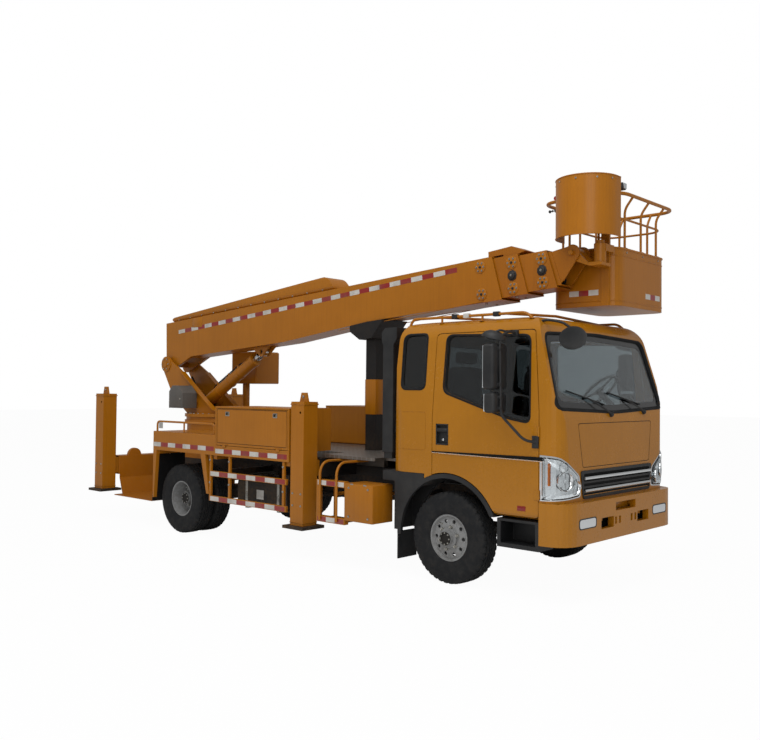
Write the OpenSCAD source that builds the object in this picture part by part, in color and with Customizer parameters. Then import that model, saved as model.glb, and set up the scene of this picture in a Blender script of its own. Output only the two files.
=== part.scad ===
// Light cab-over truck with a telescopic boom lift, four legs and a small work basket.
// X points forward, Y to the truck's left, Z up. Millimetres. The ground is z = 0, and the
// origin is under the middle of the overall length. Modules are drawn with x = 0 at the
// front axle, and placed() moves them into the part's frame.

/* [Chassis] */
// Distance between the axles
wheelbase = 3900; // [3300:10:4700]
// Front axle to the bumper's face
front_overhang = 1200; // [1180:5:1300]
// Rear axle to the back edge of the rear foot plates
rear_overhang = 1900; // [1800:10:2300]
// Outside width over the frame rails
frame_w = 750; // [700:5:800]
// Height of the frame rails' top
frame_top = 800; // [780:5:840]
// Height of a frame rail
rail_h = 200; // [160:5:220]
// Plate thickness of a frame rail
rail_t = 8; // [5:1:12]

/* [Wheels] */
// Outside diameter of a tyre
tyre_d = 805; // [700:5:850]
// Width of a tyre
tyre_w = 215; // [180:5:225]
// Diameter of the rim's bead seat
rim_d = 410; // [380:5:460]
// Middle plane of a front wheel from the truck's middle
front_wheel_y = 856; // [840:2:880]
// Middle plane of the outer twin wheel from the truck's middle
rear_wheel_y = 964; // [940:2:1010]
// Distance between the middle planes of twin wheels
twin_pitch = 240; // [236:1:260]
// Steering angle to each side, degrees
steer_max = 35; // [20:1:35]

/* [Cab] */
// Width of the cab at its belt line
cab_w = 1960; // [1900:10:2060]
// Front axle to the cab's back wall at its foot
cab_back = 690; // [640:10:800]
// Height of the roof at its crown
roof_z = 2350; // [2300:5:2380]
// Thickness of the cab's walls
cab_wall = 45; // [30:1:60]
// Thickness of a door
door_t = 60; // [45:1:80]
// Gap around a door
door_gap = 6; // [5:1:10]
// Thickness of the window glass
glass_t = 6; // [4:1:8]

/* [Body] */
// Width over the body's sides
body_w = 2280; // [2240:10:2340]
// Height of the body's top plates
body_top = 1180; // [1150:5:1220]
// Height of the toolboxes' lids
toolbox_top = 1500; // [1420:10:1560]
// Depth of a toolbox across the truck
toolbox_depth = 590; // [500:10:640]

/* [Boom] */
// Slope of the boom at rest, degrees
boom_slope = 4; // [3:0.5:5]
// Height of the boom's foot pin
pivot_z = 2030; // [2000:5:2080]
// Width of the outer section
boom_w = 320; // [300:5:360]
// Depth of the outer section at its front end
boom_h = 430; // [420:5:460]
// Plate thickness of the boom sections
boom_t = 8; // [6:1:10]
// Clearance between two boom sections
boom_gap = 10; // [8:1:14]
// Length of the outer section from the foot pin to its mouth
boom_len = 5560; // [5400:20:5700]
// Travel of each inner section
section_travel = 3900; // [3000:50:4000]

/* [Basket] */
// Length of the basket across the truck at rest
basket_len = 1020; // [900:10:1020]
// Width of the basket along the truck at rest
basket_w = 680; // [600:10:700]
// Height of the basket's side panels
basket_h = 530; // [450:10:600]
// Height of the basket's floor above the ground
basket_z = 2475; // [2465:5:2520]
// Height of the basket's top rail above its floor
basket_rail_h = 1000; // [950:10:1050]

/* [Legs] */
// Side of a leg's square tube
leg_w = 190; // [160:5:200]
// Side of a foot plate
foot_w = 300; // [260:10:320]
// Travel of a leg's beam out of its box
beam_travel = 600; // [300:10:650]
// Travel of a jack
jack_travel = 400; // [200:10:450]

/* [Hidden] */
$fn = 48;
eps = 0.01;
fit = 0.3;
run = 5;
axle_z = tyre_d / 2;
overall = front_overhang + wheelbase + rear_overhang;
shift_x = overall / 2 - front_overhang;
rear_x = -wheelbase;
frame_front = 960;
frame_y = frame_w / 2;
rail_flange = 65;
sub_h = 100;
deck_z = 1040;

// legs
front_leg_x = -1775;
rear_leg_x = -(wheelbase + rear_overhang - foot_w / 2);
leg_y = body_w / 2 - leg_w / 2;
front_leg_z = [330, 1570];
rear_leg_z = [385, 1620];
foot_t = 30;
box_w = 170;
box_wall = 8;
beam_gap = 8;
front_box_z = [frame_top + 5, frame_top + 195];
rear_box_z = [560, 800];
box_y = 900;
tray_back_y = leg_y - foot_w / 2 - 10;
leg_wall = 10;
jack_gap = 8;

// cab
cab_y = cab_w / 2;
cab_front = 1110;
belt_z = 1450;
sill_z = 660;
floor_z = 985;
floor_t = 35;
door_x = [-165, 945];
door_z = [668, 2205];
arch_r = 565;
hump_y = 330;
hump_top = 1235;

// turntable and boom
slew_x = -4680;
pivot_x = -5530;
ring_r = 400;
turret_base_z = 1330;
lug_r = 105;
pin_r = 40;
cheek_y = boom_w / 2 + 30;
cheek_t = 25;
boom_top = 575;
section_step = 2 * (boom_t + boom_gap);
cyl_foot = [-4850, 1530];
cyl_eye = [1850, 5];

// basket
basket_x = 350;
basket_y = 150;
head_pin = [6300, 475];

// ---- helpers ----------------------------------------------------------------------------

// A box between two values on each axis
module block(x, y, z) translate([x[0], y[0], z[0]]) cube([x[1] - x[0], y[1] - y[0], z[1] - z[0]]);

// Cylinders along each axis, between two values
module pin_x(r, x, y, z) translate([x[0], y, z]) rotate([0, 90, 0]) cylinder(r = r, h = x[1] - x[0]);
module pin_y(r, y, x, z) translate([x, y[1], z]) rotate([90, 0, 0]) cylinder(r = r, h = y[1] - y[0]);
module pin_z(r, z, x, y) translate([x, y, z[0]]) cylinder(r = r, h = z[1] - z[0]);

// A plate with a side outline in X and Z, between two Y values
module side_plate(y, points) translate([0, y[1], 0]) rotate([90, 0, 0])
    linear_extrude(y[1] - y[0]) polygon(points);

// A plate with an outline in Y and Z, between two X values
module cross_plate(x, points) translate([x[0], 0, 0]) rotate([90, 0, 90])
    linear_extrude(x[1] - x[0]) polygon(points);

// A plate with an outline in X and Y, between two Z values
module flat_plate(z, points) translate([0, 0, z[0]]) linear_extrude(z[1] - z[0]) polygon(points);

// A bar from a to b, and a bent bar through a list of points, whose pieces overlap at the bends
module bar(a, b, r, more = 0) {
    d = b - a;
    translate(a) rotate([0, acos(d.z / norm(d)), atan2(d.y, d.x)]) translate([0, 0, -more])
        cylinder(r = r, h = norm(d) + 2 * more, $fn = 10);
}
module bent_bar(points, r) for (i = [1 : len(points) - 1]) bar(points[i - 1], points[i], r, r * 0.45);

// The children, and their mirror image on the other side of the truck
module both_sides() {
    children();
    mirror([0, 1, 0]) children();
}

// The children on the left for side = 1, mirrored to the right for side = -1
module on_side(side) if (side > 0) children(); else mirror([0, 1, 0]) children();

// An outline whose corners are eased over a length r
function unit(v) = v / norm(v);
function eased(p, r, n = 5) = [
    for (i = [0 : len(p) - 1])
        let (a = p[(i + len(p) - 1) % len(p)], b = p[i], c = p[(i + 1) % len(p)],
             s = b + unit(a - b) * min(r, norm(a - b) * 0.45),
             e = b + unit(c - b) * min(r, norm(c - b) * 0.45))
        for (k = [0 : n]) let (t = k / n) s * (1 - t) * (1 - t) + b * 2 * t * (1 - t) + e * t * t];
function rect(x, z) = [[x[0], z[0]], [x[1], z[0]], [x[1], z[1]], [x[0], z[1]]];

// Moves a piece from the front axle's frame to the part's frame
module placed() translate([shift_x, 0, 0]) children();

// Moves a piece from the boom's frame, with its origin on the foot pin and X along the boom
module in_boom() translate([pivot_x, 0, pivot_z]) rotate([0, -boom_slope, 0]) children();

// ---- chassis ----------------------------------------------------------------------------

module frame_rail() difference() {
    block([rear_leg_x + box_w / 2 + 8, frame_front], [frame_y - rail_flange, frame_y], [frame_top - rail_h, frame_top]);
    block([rear_leg_x, frame_front + 1], [frame_y - rail_flange - 1, frame_y - rail_t],
        [frame_top - rail_h + rail_t, frame_top - rail_t]);
}

// Hanger for a spring's eye, below a frame rail
module spring_hanger(x) difference() {
    block([x - 35, x + 35], [frame_y - rail_flange, frame_y - rail_flange + 64],
        [spring_eye_z - 34, frame_top - rail_h]);
    block([x - 36, x + 36], [frame_y - rail_flange + 6, frame_y - rail_flange + 58],
        [spring_eye_z - 35, spring_eye_z + 30]);
}

spring_eye_z = axle_z + 150;
spring_y = frame_y - rail_flange + 32;
spring_w = 51;
front_spring = 620;
rear_spring = 680;

module chassis_frame() color("#1d1e20") {
    both_sides() {
        frame_rail();
        for (x = [-front_spring, front_spring]) spring_hanger(x);
        for (x = [-rear_spring, rear_spring]) spring_hanger(rear_x + x);
    }
    for (x = [frame_front - 60, -1050, -2450, -3250, -4450])
        block([x, x + 60], [-frame_y + rail_t, frame_y - rail_t], [frame_top - rail_h + 70, frame_top - rail_t]);
    // mounts of the cab's floor
    for (x = [-620, 600]) both_sides()
        block([x, x + 70], [frame_y - 60, frame_y - 5], [frame_top - 1, floor_z - floor_t - fit]);
    // body crossbeams, from the rails out to the sides
    for (x = [-3080, -2100]) both_sides()
        block([x - 30, x + 30], [frame_y, body_w / 2 - 160], [frame_top - 60, frame_top]);
}

// One spring: a stack of leaves that rises from the axle to its two eyes
module spring(half, seat_z) {
    rise = spring_eye_z - 22 - seat_z;
    n = 8;
    lower = [for (i = [-n : n]) [half * i / n, seat_z + rise * pow(i / n, 2)]];
    upper = [for (i = [n : -1 : -n]) [half * i / n, seat_z + rise * pow(i / n, 2) + 20]];
    middle = [for (i = [-n : n]) [half * 0.62 * i / n, seat_z - 24 + rise * pow(i / n, 2) * 0.4]];
    top = [for (i = [n : -1 : -n]) [half * 0.62 * i / n, seat_z + rise * pow(i * 0.62 / n, 2) + 1]];
    side_plate([spring_y - spring_w / 2, spring_y + spring_w / 2], concat(lower, upper));
    side_plate([spring_y - spring_w / 2, spring_y + spring_w / 2], concat(middle, top));
    for (x = [-half, half]) pin_y(24, [spring_y - spring_w / 2, spring_y + spring_w / 2], x, spring_eye_z);
}

king_y = front_wheel_y - 150;
king_r = 18;
eye_h = 45;

module front_axle() color("#242527") {
    beam_z = [axle_z - 42, axle_z + 42];
    difference() {
        union() {
            block([-40, 40], [-king_y + 45, king_y - 45], beam_z);
            both_sides() pin_z(48, [axle_z - eye_h, axle_z + eye_h], 0, king_y);
            both_sides() block([-60, 60], [spring_y - 40, spring_y + 40], [axle_z + 10, axle_z + 46]);
        }
        both_sides() pin_z(king_r + 0.05, [axle_z - 100, axle_z + 100], 0, king_y);
    }
    both_sides() spring(front_spring, axle_z + 68);
}

module rear_axle() color("#242527") {
    translate([rear_x, 0, 0]) {
        union() {
                both_sides() pin_y(62, [0, rear_wheel_y - twin_pitch - tyre_w / 2 - 10], 0, axle_z);
                translate([0, 0, axle_z]) sphere(r = 165);
                both_sides() block([-60, 60], [spring_y - 40, spring_y + 40], [axle_z, axle_z + 78]);
                both_sides() pin_y(stub_r, [0, rear_wheel_y - twin_pitch / 2 + 20], 0, axle_z);
        }
        both_sides() spring(rear_spring, axle_z + 100);
    }
    bar([rear_x + 120, 0, axle_z + 20], [-903.2, 0, 615], 42);
}

module engine() color("#3a3c3e") {
    block([-330, 500], [-280, 280], [560, 1170]);
    block([-900, -330], [-160, 160], [560, 880]);
    // mounts to the frame's webs
    for (x = [60, -620]) block([x, x + 70], [-frame_y + rail_t + fit, frame_y - rail_t - fit], [640, 690]);
}

// The fuel tank on the right and the oil tank on the left, between leg and rear wheel
module tank(x, z) {
    side = [[430, z[0]], [930, z[0]], [930, z[1]], [430, z[1]]];
    cross_plate(x, eased(side, 90));
    for (p = [x[0] + 180, x[1] - 180]) block([p - 30, p + 30], [frame_y, 440], [z[0] + 150, z[1] - 60]);
}
module fuel_tank() color("#17181a") {
    mirror([0, 1, 0]) tank([-2990, -2160], [390, 730]);
    tank([-2990, -2160], [390, 730]);
}

// ---- wheels -----------------------------------------------------------------------------

module tyre(y) {
    h = tyre_w / 2;
    r = tyre_d / 2;
    bead = rim_d / 2 + fit;
    profile = [[bead, -h + 26], [bead + 45, -h + 4], [bead + 95, -h], [r - 40, -h + 6], [r - 12, -h + 16], [r, -h + 34],
        [r, h - 34], [r - 12, h - 16], [r - 40, h - 6], [bead + 95, h], [bead + 45, h - 4], [bead, h - 26]];
    translate([0, y, axle_z]) rotate([90, 0, 0]) rotate_extrude($fn = 96) polygon(profile);
}

// Ten round hand holes through a wheel disc between two distances from the wheel's middle
module hand_holes(z) for (i = [0 : 9]) rotate(i * 36) translate([rim_d / 2 - 57, 0, z[0]])
    cylinder(r = 17, h = z[1] - z[0]);

spindle_r = 30;
stub_r = 40;
shaft_gap = 0.05;
rim_half = tyre_w / 2 - 26;

// Front wheel in one turned outline: rim, outboard disc, hub and brake drum
module front_rim(side) color("#b9bcbe") on_side(side) translate([0, front_wheel_y, axle_z])
    rotate([-90, 0, 0]) difference() {
        b = rim_d / 2;
        rotate_extrude($fn = 96) polygon([[b, -rim_half], [b, rim_half], [b - 14, rim_half], [b - 26, 58],
            [b - 40, 62], [110, 72], [88, 72], [88, 92], [62, 92], [62, 132], [0, 132], [0, 118],
            [spindle_r + shaft_gap, 118], [spindle_r + shaft_gap, -12], [135, -12], [135, -66], [150, -66],
            [150, 20], [112, 20], [112, 60], [b - 40, 50], [b - 22, 44], [b - 14, -rim_half]]);
        hand_holes([30, 90]);
    }
module front_tyre(side) color("#1b1c1e") on_side(side) tyre(front_wheel_y);

// Twin rear wheels in one turned outline about the plane between them: two rims bolted back to
// back on one hub, with the drum inside the inner one
module rear_rims(side) color("#b9bcbe") on_side(side) translate([0, rear_wheel_y - twin_pitch / 2, axle_z])
    rotate([-90, 0, 0]) difference() {
        b = rim_d / 2;
        near = twin_pitch / 2 - rim_half;
        far = twin_pitch / 2 + rim_half;
        rotate_extrude($fn = 96) polygon([[112, near + 16], [b - 40, near + 6], [b - 22, near + 0.5], [b - 14, near],
            [b, near], [b, far], [b - 14, far], [b - 26, near + 14], [b - 40, near + 18], [110, near + 28],
            [70, near + 28], [70, 150], [0, 150], [0, 21], [stub_r + shaft_gap, 21], [stub_r + shaft_gap, -100],
            [135, -100], [135, -160], [150, -160], [150, -near - 21], [b - 40, -near - 18], [b - 26, -near - 14],
            [b - 14, -far], [b, -far], [b, -near], [b - 14, -near], [b - 22, -near - 0.5], [b - 40, -near - 6],
            [112, -near - 16]]);
        hand_holes([near - 5, near + 40]);
    }
module rear_tyres(side) color("#1b1c1e") on_side(side) {
    tyre(rear_wheel_y);
    tyre(rear_wheel_y - twin_pitch);
}

// Steering knuckle: two yokes on the king pin, the spindle and the steering arm
module knuckle(side) color("#2b2c2e") on_side(side) {
    y = king_y;
    pin_z(king_r, [axle_z - eye_h - 28, axle_z + eye_h + 28], 0, y);
    for (z = [axle_z - eye_h - 27, axle_z + eye_h + 2]) block([-38, 38], [y - 36, y + 66], [z, z + 25]);
    block([-38, 38], [y + 54, y + 76], [axle_z - eye_h - 27, axle_z + eye_h + 27]);
    pin_y(spindle_r, [y + 70, front_wheel_y + 117], 0, axle_z);
    bar([-20, y + 40, axle_z - eye_h - 18], [-190, y - 20, axle_z - eye_h - 18], 14);
}

// ---- cab --------------------------------------------------------------------------------

// The cab's outer form, drawn in by d on every face: side, plan and front outlines crossed
module cab_form(d) intersection() {
    side_plate([-cab_y - 1, cab_y + 1], eased([
        [-cab_back + d, sill_z + d], [cab_front + 12 - d, sill_z + d], [cab_front + 12 - d, 1050],
        [cab_front - d, belt_z + 40], [900 - d, roof_z - 120], [820 - d, roof_z - 35 - d],
        [350, roof_z - d], [-cab_back + 200, roof_z - 15 - d], [-cab_back + 90 + d, roof_z - 60 - d]], 60, 4));
    flat_plate([sill_z - 1, roof_z + 1], eased([
        [-cab_back - 1 + d, -cab_y + d], [cab_front + 12 - d, -cab_y + d],
        [cab_front + 12 - d, cab_y - d], [-cab_back - 1 + d, cab_y - d]], 210, 8));
    cross_plate([-cab_back - 1, cab_front + 20], eased([
        [cab_y - d, sill_z - 1], [cab_y - d, belt_z], [cab_y - 65 - d, roof_z - 150],
        [cab_y - 160 - d, roof_z - 45 - d], [cab_y - 420, roof_z - 8 - d], [0, roof_z - d],
        [-cab_y + 420, roof_z - 8 - d], [-cab_y + 160 + d, roof_z - 45 - d], [-cab_y + 65 + d, roof_z - 150],
        [-cab_y + d, belt_z], [-cab_y + d, sill_z - 1]], 60, 4));
}

// Outlines of the windows, drawn in by g
function door_window(g) = eased([[-50 + g, 1690 + g], [-40 + g, 2180 - g], [815 - g, 2150 - g],
    [850 - g, 1440 + g], [640, 1475 + g]], 70);
function side_window(g) = eased(rect([-545 + g, -275 - g], [1710 + g, 2200 - g]), 70);
function windscreen_line(g) = eased([[-925 + g, 1560 + g], [0, 1525 + g], [925 - g, 1560 + g],
    [855 - g, 2165 - g], [0, 2195 - g], [-855 + g, 2165 - g]], 80);
function back_window(g) = eased([[-560 + g, 1650 + g], [560 - g, 1650 + g], [560 - g, 2130 - g],
    [-560 + g, 2130 - g]], 70);

// The door's outline, with its back corner cut along the wheel arch
module door_region(g, y) difference() {
    side_plate(y, eased([[door_x[0] + g, door_z[0] + g], [door_x[1] - g, door_z[0] + g],
        [door_x[1] - g, 1500], [door_x[1] - 75 - g, door_z[1] - g], [door_x[0] + g, door_z[1] - g]], 40, 3));
    pin_y(arch_r + g, [y[0] - 1, y[1] + 1], 0, axle_z);
}

module cab_shell() color("#e2a11a") difference() {
    cab_form(0);
    // room inside, over the floor and around the engine hump
    difference() {
        cab_form(cab_wall);
        block([-cab_back, cab_front + 20], [-cab_y, cab_y], [0, floor_z]);
        block([-cab_back, 560], [-hump_y, hump_y], [0, hump_top]);
    }
    // underside, below the floor and inside the hump
    difference() {
        cab_form(cab_wall);
        block([-cab_back, cab_front + 20], [-cab_y, cab_y], [floor_z - floor_t, roof_z]);
    }
    block([-cab_back - 1, cab_front - 60], [-hump_y + floor_t, hump_y - floor_t], [sill_z - 1, floor_z - 1]);
    block([-cab_back - 1, 560 - floor_t], [-hump_y + floor_t, hump_y - floor_t], [sill_z - 1, hump_top - floor_t]);
    block([-cab_back - 1, -250], [-cab_y - 1, cab_y + 1], [sill_z - 1, floor_z - floor_t]);
    block([-cab_back - 1, cab_front - 130], [-cab_y + door_t, cab_y - door_t], [sill_z - 1, sill_z + cab_wall + 1]);
    both_sides() {
        pin_y(arch_r, [cab_y - 330, cab_y + 1], 0, axle_z);
        intersection() {
            door_region(0, [cab_y - 300, cab_y + 1]);
            block([door_x[0] - 1, door_x[1] + 1], [cab_y - 200, cab_y + 1], [floor_z - floor_t, door_z[1] + 10]);
        }
        intersection() {
            door_region(0, [cab_y - door_t - door_gap - 12, cab_y + 1]);
            block([door_x[0] - 1, door_x[1] + 1], [0, cab_y + 1], [0, floor_z]);
        }
        side_plate([cab_y - 200, cab_y + 1], side_window(0));
    }
    cross_plate([600, cab_front + 20], windscreen_line(0));
    cross_plate([-cab_back - 1, -cab_back + 200], back_window(0));
    // recesses for the lamps
    both_sides() lamp_region(0);
}

// A lamp's outline on the cab's front corner, drawn in by g
module lamp_region(g) intersection() {
    cross_plate([800, cab_front + 30], eased([[630 + g, 835 + g], [cab_y + 30, 815 + g],
        [cab_y + 30, 1190 - g], [900, 1165 - g], [650 + g, 1010 - g]], 30, 3));
    difference() {
        cab_form(-30);
        cab_form(cab_wall - 4 - g);
    }
    block([door_x[1] + 5, 1200], [0, cab_y + 60], [0, 2000]);
}
module headlights() color("#cfd4d6") both_sides() intersection() {
    lamp_region(fit);
    cab_form(0);
}

// Windscreen, back window and the two side windows, each in its opening
module pane(inset) difference() {
    cab_form(inset);
    cab_form(inset + glass_t);
}
module cab_glass() color("#2c3438") {
    intersection() {
        pane(16);
        cross_plate([600, cab_front + 20], windscreen_line(fit));
    }
    intersection() {
        pane(16);
        cross_plate([-cab_back - 1, -cab_back + 200], back_window(fit));
    }
    both_sides() intersection() {
        pane(16);
        side_plate([cab_y - 200, cab_y + 1], side_window(fit));
    }
}

hinge_r = 8;

// A door as thick as its wall, with its window and grip recess cut
module door(side) color("#e2a11a") on_side(side) {
    difference() {
        intersection() {
            difference() {
                cab_form(0);
                cab_form(door_t);
            }
            door_region(door_gap, [cab_y - 260, cab_y + 1]);
        }
        side_plate([cab_y - 260, cab_y + 1], door_window(0));
        block([-120, 20], [cab_y - 22, cab_y + 1], [1215, 1400]);
        block([0, 1000], [cab_y - 300, cab_y - door_t], [0, floor_z]);
    }
    // pull handle across the recess
    block([-121, 21], [cab_y - 20, cab_y - 4], [1330, 1362]);
    // hinges
    for (z = [820, 1330]) {
        pin_z(hinge_r, [z, z + 80], door_x[1] - 1, cab_y + 6.2);
        block([900, door_x[1] - 1], [cab_y - 3, cab_y + 4], [z, z + 80]);
    }
}
module door_glass(side) color("#2c3438") on_side(side) intersection() {
    pane(20);
    side_plate([cab_y - 260, cab_y + 1], door_window(fit));
}

// Wing mirrors on a bent arm from the door's front corner to its top edge
mirror_out = 1260;
module wing_mirror(side) color("#1a1b1d") on_side(side) {
    bent_bar([[915, cab_y + 9.6, 1285], [860, cab_y + 90, 1300], [705, mirror_out - 90, 1500],
        [690, mirror_out - 90, 2130], [690, cab_y + 60, 2185], [690, cab_y - 49, 2170]], 11);
    translate([615, mirror_out - 190, 1722]) linear_extrude(346)
        polygon(eased([[0, 0], [75, 0], [75, 190], [0, 190]], 40));
    translate([625, mirror_out - 180, 1540]) linear_extrude(140)
        polygon(eased([[0, 0], [70, 0], [70, 170], [0, 170]], 40));
    block([560, 700], [mirror_out - 170, mirror_out - 20], [2105, 2165]);
    block([660, 702], [mirror_out - 110, mirror_out - 72], [1560, 2160]);
    block([905, 925], [cab_y - 1 + fit + 1, cab_y + 8], [1255, 1315]);
}

// Bumper: a deep pressing round the cab's foot, with its openings
bumper_z = [462, 800];
module bumper_shape() difference() {
    flat_plate(bumper_z, eased([[690, -cab_y - 20], [front_overhang, -cab_y - 20],
        [front_overhang, cab_y + 20], [690, cab_y + 20]], 230, 8));
    flat_plate([bumper_z[0] + 40, bumper_z[1] - 90], eased([[600, -cab_y + 30], [front_overhang - 55, -cab_y + 30],
        [front_overhang - 55, cab_y - 30], [600, cab_y - 30]], 200, 8));
    flat_plate([bumper_z[1] - 150, bumper_z[1] + 1], eased([[600, -cab_y - 2], [cab_front + 14, -cab_y - 2],
        [cab_front + 14, cab_y + 2], [600, cab_y + 2]], 212, 8));
    block([600, 1100], [-cab_y + 30, cab_y - 30], [bumper_z[0] - 1, bumper_z[1]]);
    both_sides() {
        block([1100, 1300], [215, 430], [560, 650]);
        for (y = [90, 160]) block([1100, 1300], [y, y + 34], [580, 640]);
    }
    block([1000, 1300], [-180, 180], [690, 760]);
    // it ends at the doors' front edges
    block([600, door_x[1] + 10], [-cab_y - 30, cab_y + 30], [bumper_z[0] - 1, bumper_z[1] + 1]);
}
module bumper_stays() both_sides() block([frame_front + fit, front_overhang - 53], [frame_y - 60, frame_y - 5], [612, 654]);

module bumper() color("#e2a11a") {
    bumper_shape();
    bumper_stays();
}

module grille() color("#202224") difference() {
    intersection() {
        cab_form(-14);
        cross_plate([1000, cab_front + 60], eased([[-640, 1046], [-600, 812], [600, 812], [640, 1046]], 30, 3));
    }
    cab_form(-fit);
    for (i = [0 : 4]) block([1000, cab_front + 60], [-590, 590], [838 + i * 40, 860 + i * 40]);
}

// Black arches over the front wheels with their flaps, and the steps below the doors
module cab_fenders() color("#1d1e20") both_sides() {
    difference() {
        union() {
            pin_y(arch_r - 2, [cab_y - 280, cab_y + 2], 0, axle_z);
            block([-750, -255], [cab_y - 280, cab_y + 2], [floor_z - floor_t - 90, floor_z - floor_t - 2]);
            block([-600, -300], [cab_y - 280, cab_y + 2], [420, 940]);
        }
        pin_y(arch_r - 42, [cab_y - 281, cab_y + 3], 0, axle_z);
        block([-800, 800], [cab_y - 281, cab_y + 3], [-200, 380]);
        block([200, 800], [cab_y - 281, cab_y + 3], [-200, 640]);
        block([-590, -300], [cab_y - 240, cab_y - 30], [300, 860]);
    }
    block([-572, -560], [cab_y - 270, cab_y - 10], [150, 400]);
    // step with two treads
    difference() {
        block([535, 940], [cab_y - 230, cab_y - 10], [405, 640]);
        block([570, 905], [cab_y - 200, cab_y], [440, 620]);
    }
    block([560, 600], [frame_y, cab_y - 228], [600, 640]);
    block([-560, -520], [frame_y, cab_y - 278], [700, 740]);
}

module dashboard() color("#33363a") {
    side_plate([-cab_y + 100, cab_y - 100], eased([[760, 1230], [740, 1380], [820, 1440], [1000, 1470],
        [1010, 1230]], 30, 3));
    for (y = [-500, 500]) block([1000, cab_front + 5.3 - cab_wall], [y - 30, y + 30], [1262, 1280]);
    // column up to the wheel's hub
    bar([wheel_at.x + 310, wheel_seat_y, wheel_at.y - 310], [wheel_at.x + hub_seat, wheel_seat_y, wheel_at.y - hub_seat], 30);
}
wheel_seat_y = hump_y + 290;
wheel_at = [600, 1700];
hub_h = 20;
hub_seat = (hub_h / 2 + fit) * cos(45);

module steering_wheel() color("#1b1c1e") translate([wheel_at.x, wheel_seat_y, wheel_at.y]) rotate([0, -45, 0]) {
    rotate_extrude($fn = 48) translate([205, 0]) circle(r = 14, $fn = 16);
    for (a = [0, 120, 240]) rotate(a) block([30, 200], [-14, 14], [-8, 4]);
    cylinder(r = 48, h = hub_h, center = true);
}

// Two front seats and the narrow bench along the back wall
module seat(y, w) {
    side_plate([y - w / 2, y + w / 2], eased([[-120, 1360], [400, 1380], [410, 1500], [20, 1490],
        [-110, 2050], [-190, 2050], [-150, 1480]], 40, 3));
    block([-60, 300], [y - w / 2 + 40, y + w / 2 - 40], [seat_base(y), 1375]);
}
function seat_base(y) = abs(y) < hump_y ? hump_top + fit : floor_z + fit;
module seats() color("#4a4d52") {
    for (side = [-1, 1]) seat(side * wheel_seat_y, 480);
    block([-cab_back + 120, -330], [-cab_y + 260, cab_y - 260], [hump_top + fit, 1420]);
    block([-cab_back + 130, -cab_back + 200], [-cab_y + 280, cab_y - 280], [1415, 1640]);
}

// The back wall's X at a height, as it leans forward
function back_at(z) = -cab_back + (z - sill_z) * 90 / (roof_z - 60 - sill_z);

// Air intake on the back of the cab's right corner
module snorkel() color("#1d1e20") {
    y = -cab_y + 160;
    block([-cab_back - 150, -cab_back - 20], [y - 75, y + 75], [1110, 2120]);
    side_plate([y - 75, y + 75], [[-cab_back - 150, 2120], [-cab_back - 20, 2120], [-cab_back + 20, 2180],
        [-cab_back + 20, 2285], [-cab_back - 130, 2285], [-cab_back - 170, 2240], [-cab_back - 170, 2160]]);
    block([-cab_back - 22, back_at(1300) - fit], [y - 40, y + 40], [1300, 1360]);
    block([-cab_back - 140, -cab_back - 40], [y - 60, y + 60], [deck_z + 10, 1111]);
}

// ---- body behind the cab ----------------------------------------------------------------

body_y = body_w / 2;
body_back = rear_x - 470;
arch_front = rear_x + 490;
tool_x = [-3140, -1900];
side_t = 30;
band_z = [955, 1050];

// A transverse box of the legs, as an outer solid and as its bore
module leg_box(x, z) block([x - box_w / 2, x + box_w / 2], [-box_y, box_y], z);
module leg_box_bore(x, z) block([x - box_w / 2 + box_wall, x + box_w / 2 - box_wall], [-box_y - 1, box_y + 1],
    [z[0] + box_wall, z[1] - box_wall]);

module subframe() color("#26282a") {
    difference() {
        union() {
            both_sides() block([rear_leg_x + box_w / 2, -1050], [frame_y - 80, frame_y],
                [frame_top, frame_top + sub_h]);
            for (x = [-1110, -2450, -3300]) block([x, x + 60], [-frame_y + 70, frame_y - 70],
                [frame_top + 10, frame_top + sub_h]);
            block([slew_x - 440, slew_x + 440], [-frame_y, frame_y], [frame_top + sub_h - 10, frame_top + sub_h + 50]);
            pin_z(ring_r - 30, [frame_top + sub_h + 40, turret_base_z - 50], slew_x, 0);
            pin_z(ring_r, [turret_base_z - 70, turret_base_z - 40], slew_x, 0);
            leg_box(front_leg_x, front_box_z);
            leg_box(rear_leg_x, rear_box_z);
            // half-round ears on the rear box
            both_sides() intersection() {
                pin_x(95, [rear_leg_x + 40, rear_leg_x + box_w / 2], 660, rear_box_z[1]);
                block([rear_leg_x, rear_leg_x + 200], [500, 800], [rear_box_z[0] + 30, rear_box_z[1] + 96]);
            }
        }
        leg_box_bore(front_leg_x, front_box_z);
        leg_box_bore(rear_leg_x, rear_box_z);
    }
    // tray below the tail: a floor, a back panel with a folded foot, and two hangers
    box_face = rear_leg_x + box_w / 2;
    tray_x = [rear_leg_x + foot_w / 2 + 10, body_back - 240];
    block(tray_x, [-1000, 1000], [300, 310]);
    side_plate([-tray_back_y, tray_back_y], [[box_face, rear_box_z[1]], [box_face + 8, rear_box_z[1]],
        [box_face + 8, 516], [tray_x[0] + 10, 309], [tray_x[0], 309], [box_face, 510]]);
    both_sides() block([tray_x[0] + 40, tray_x[1] - 60], [frame_y - 60, frame_y - 50], [309, frame_top - rail_h]);
}

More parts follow.
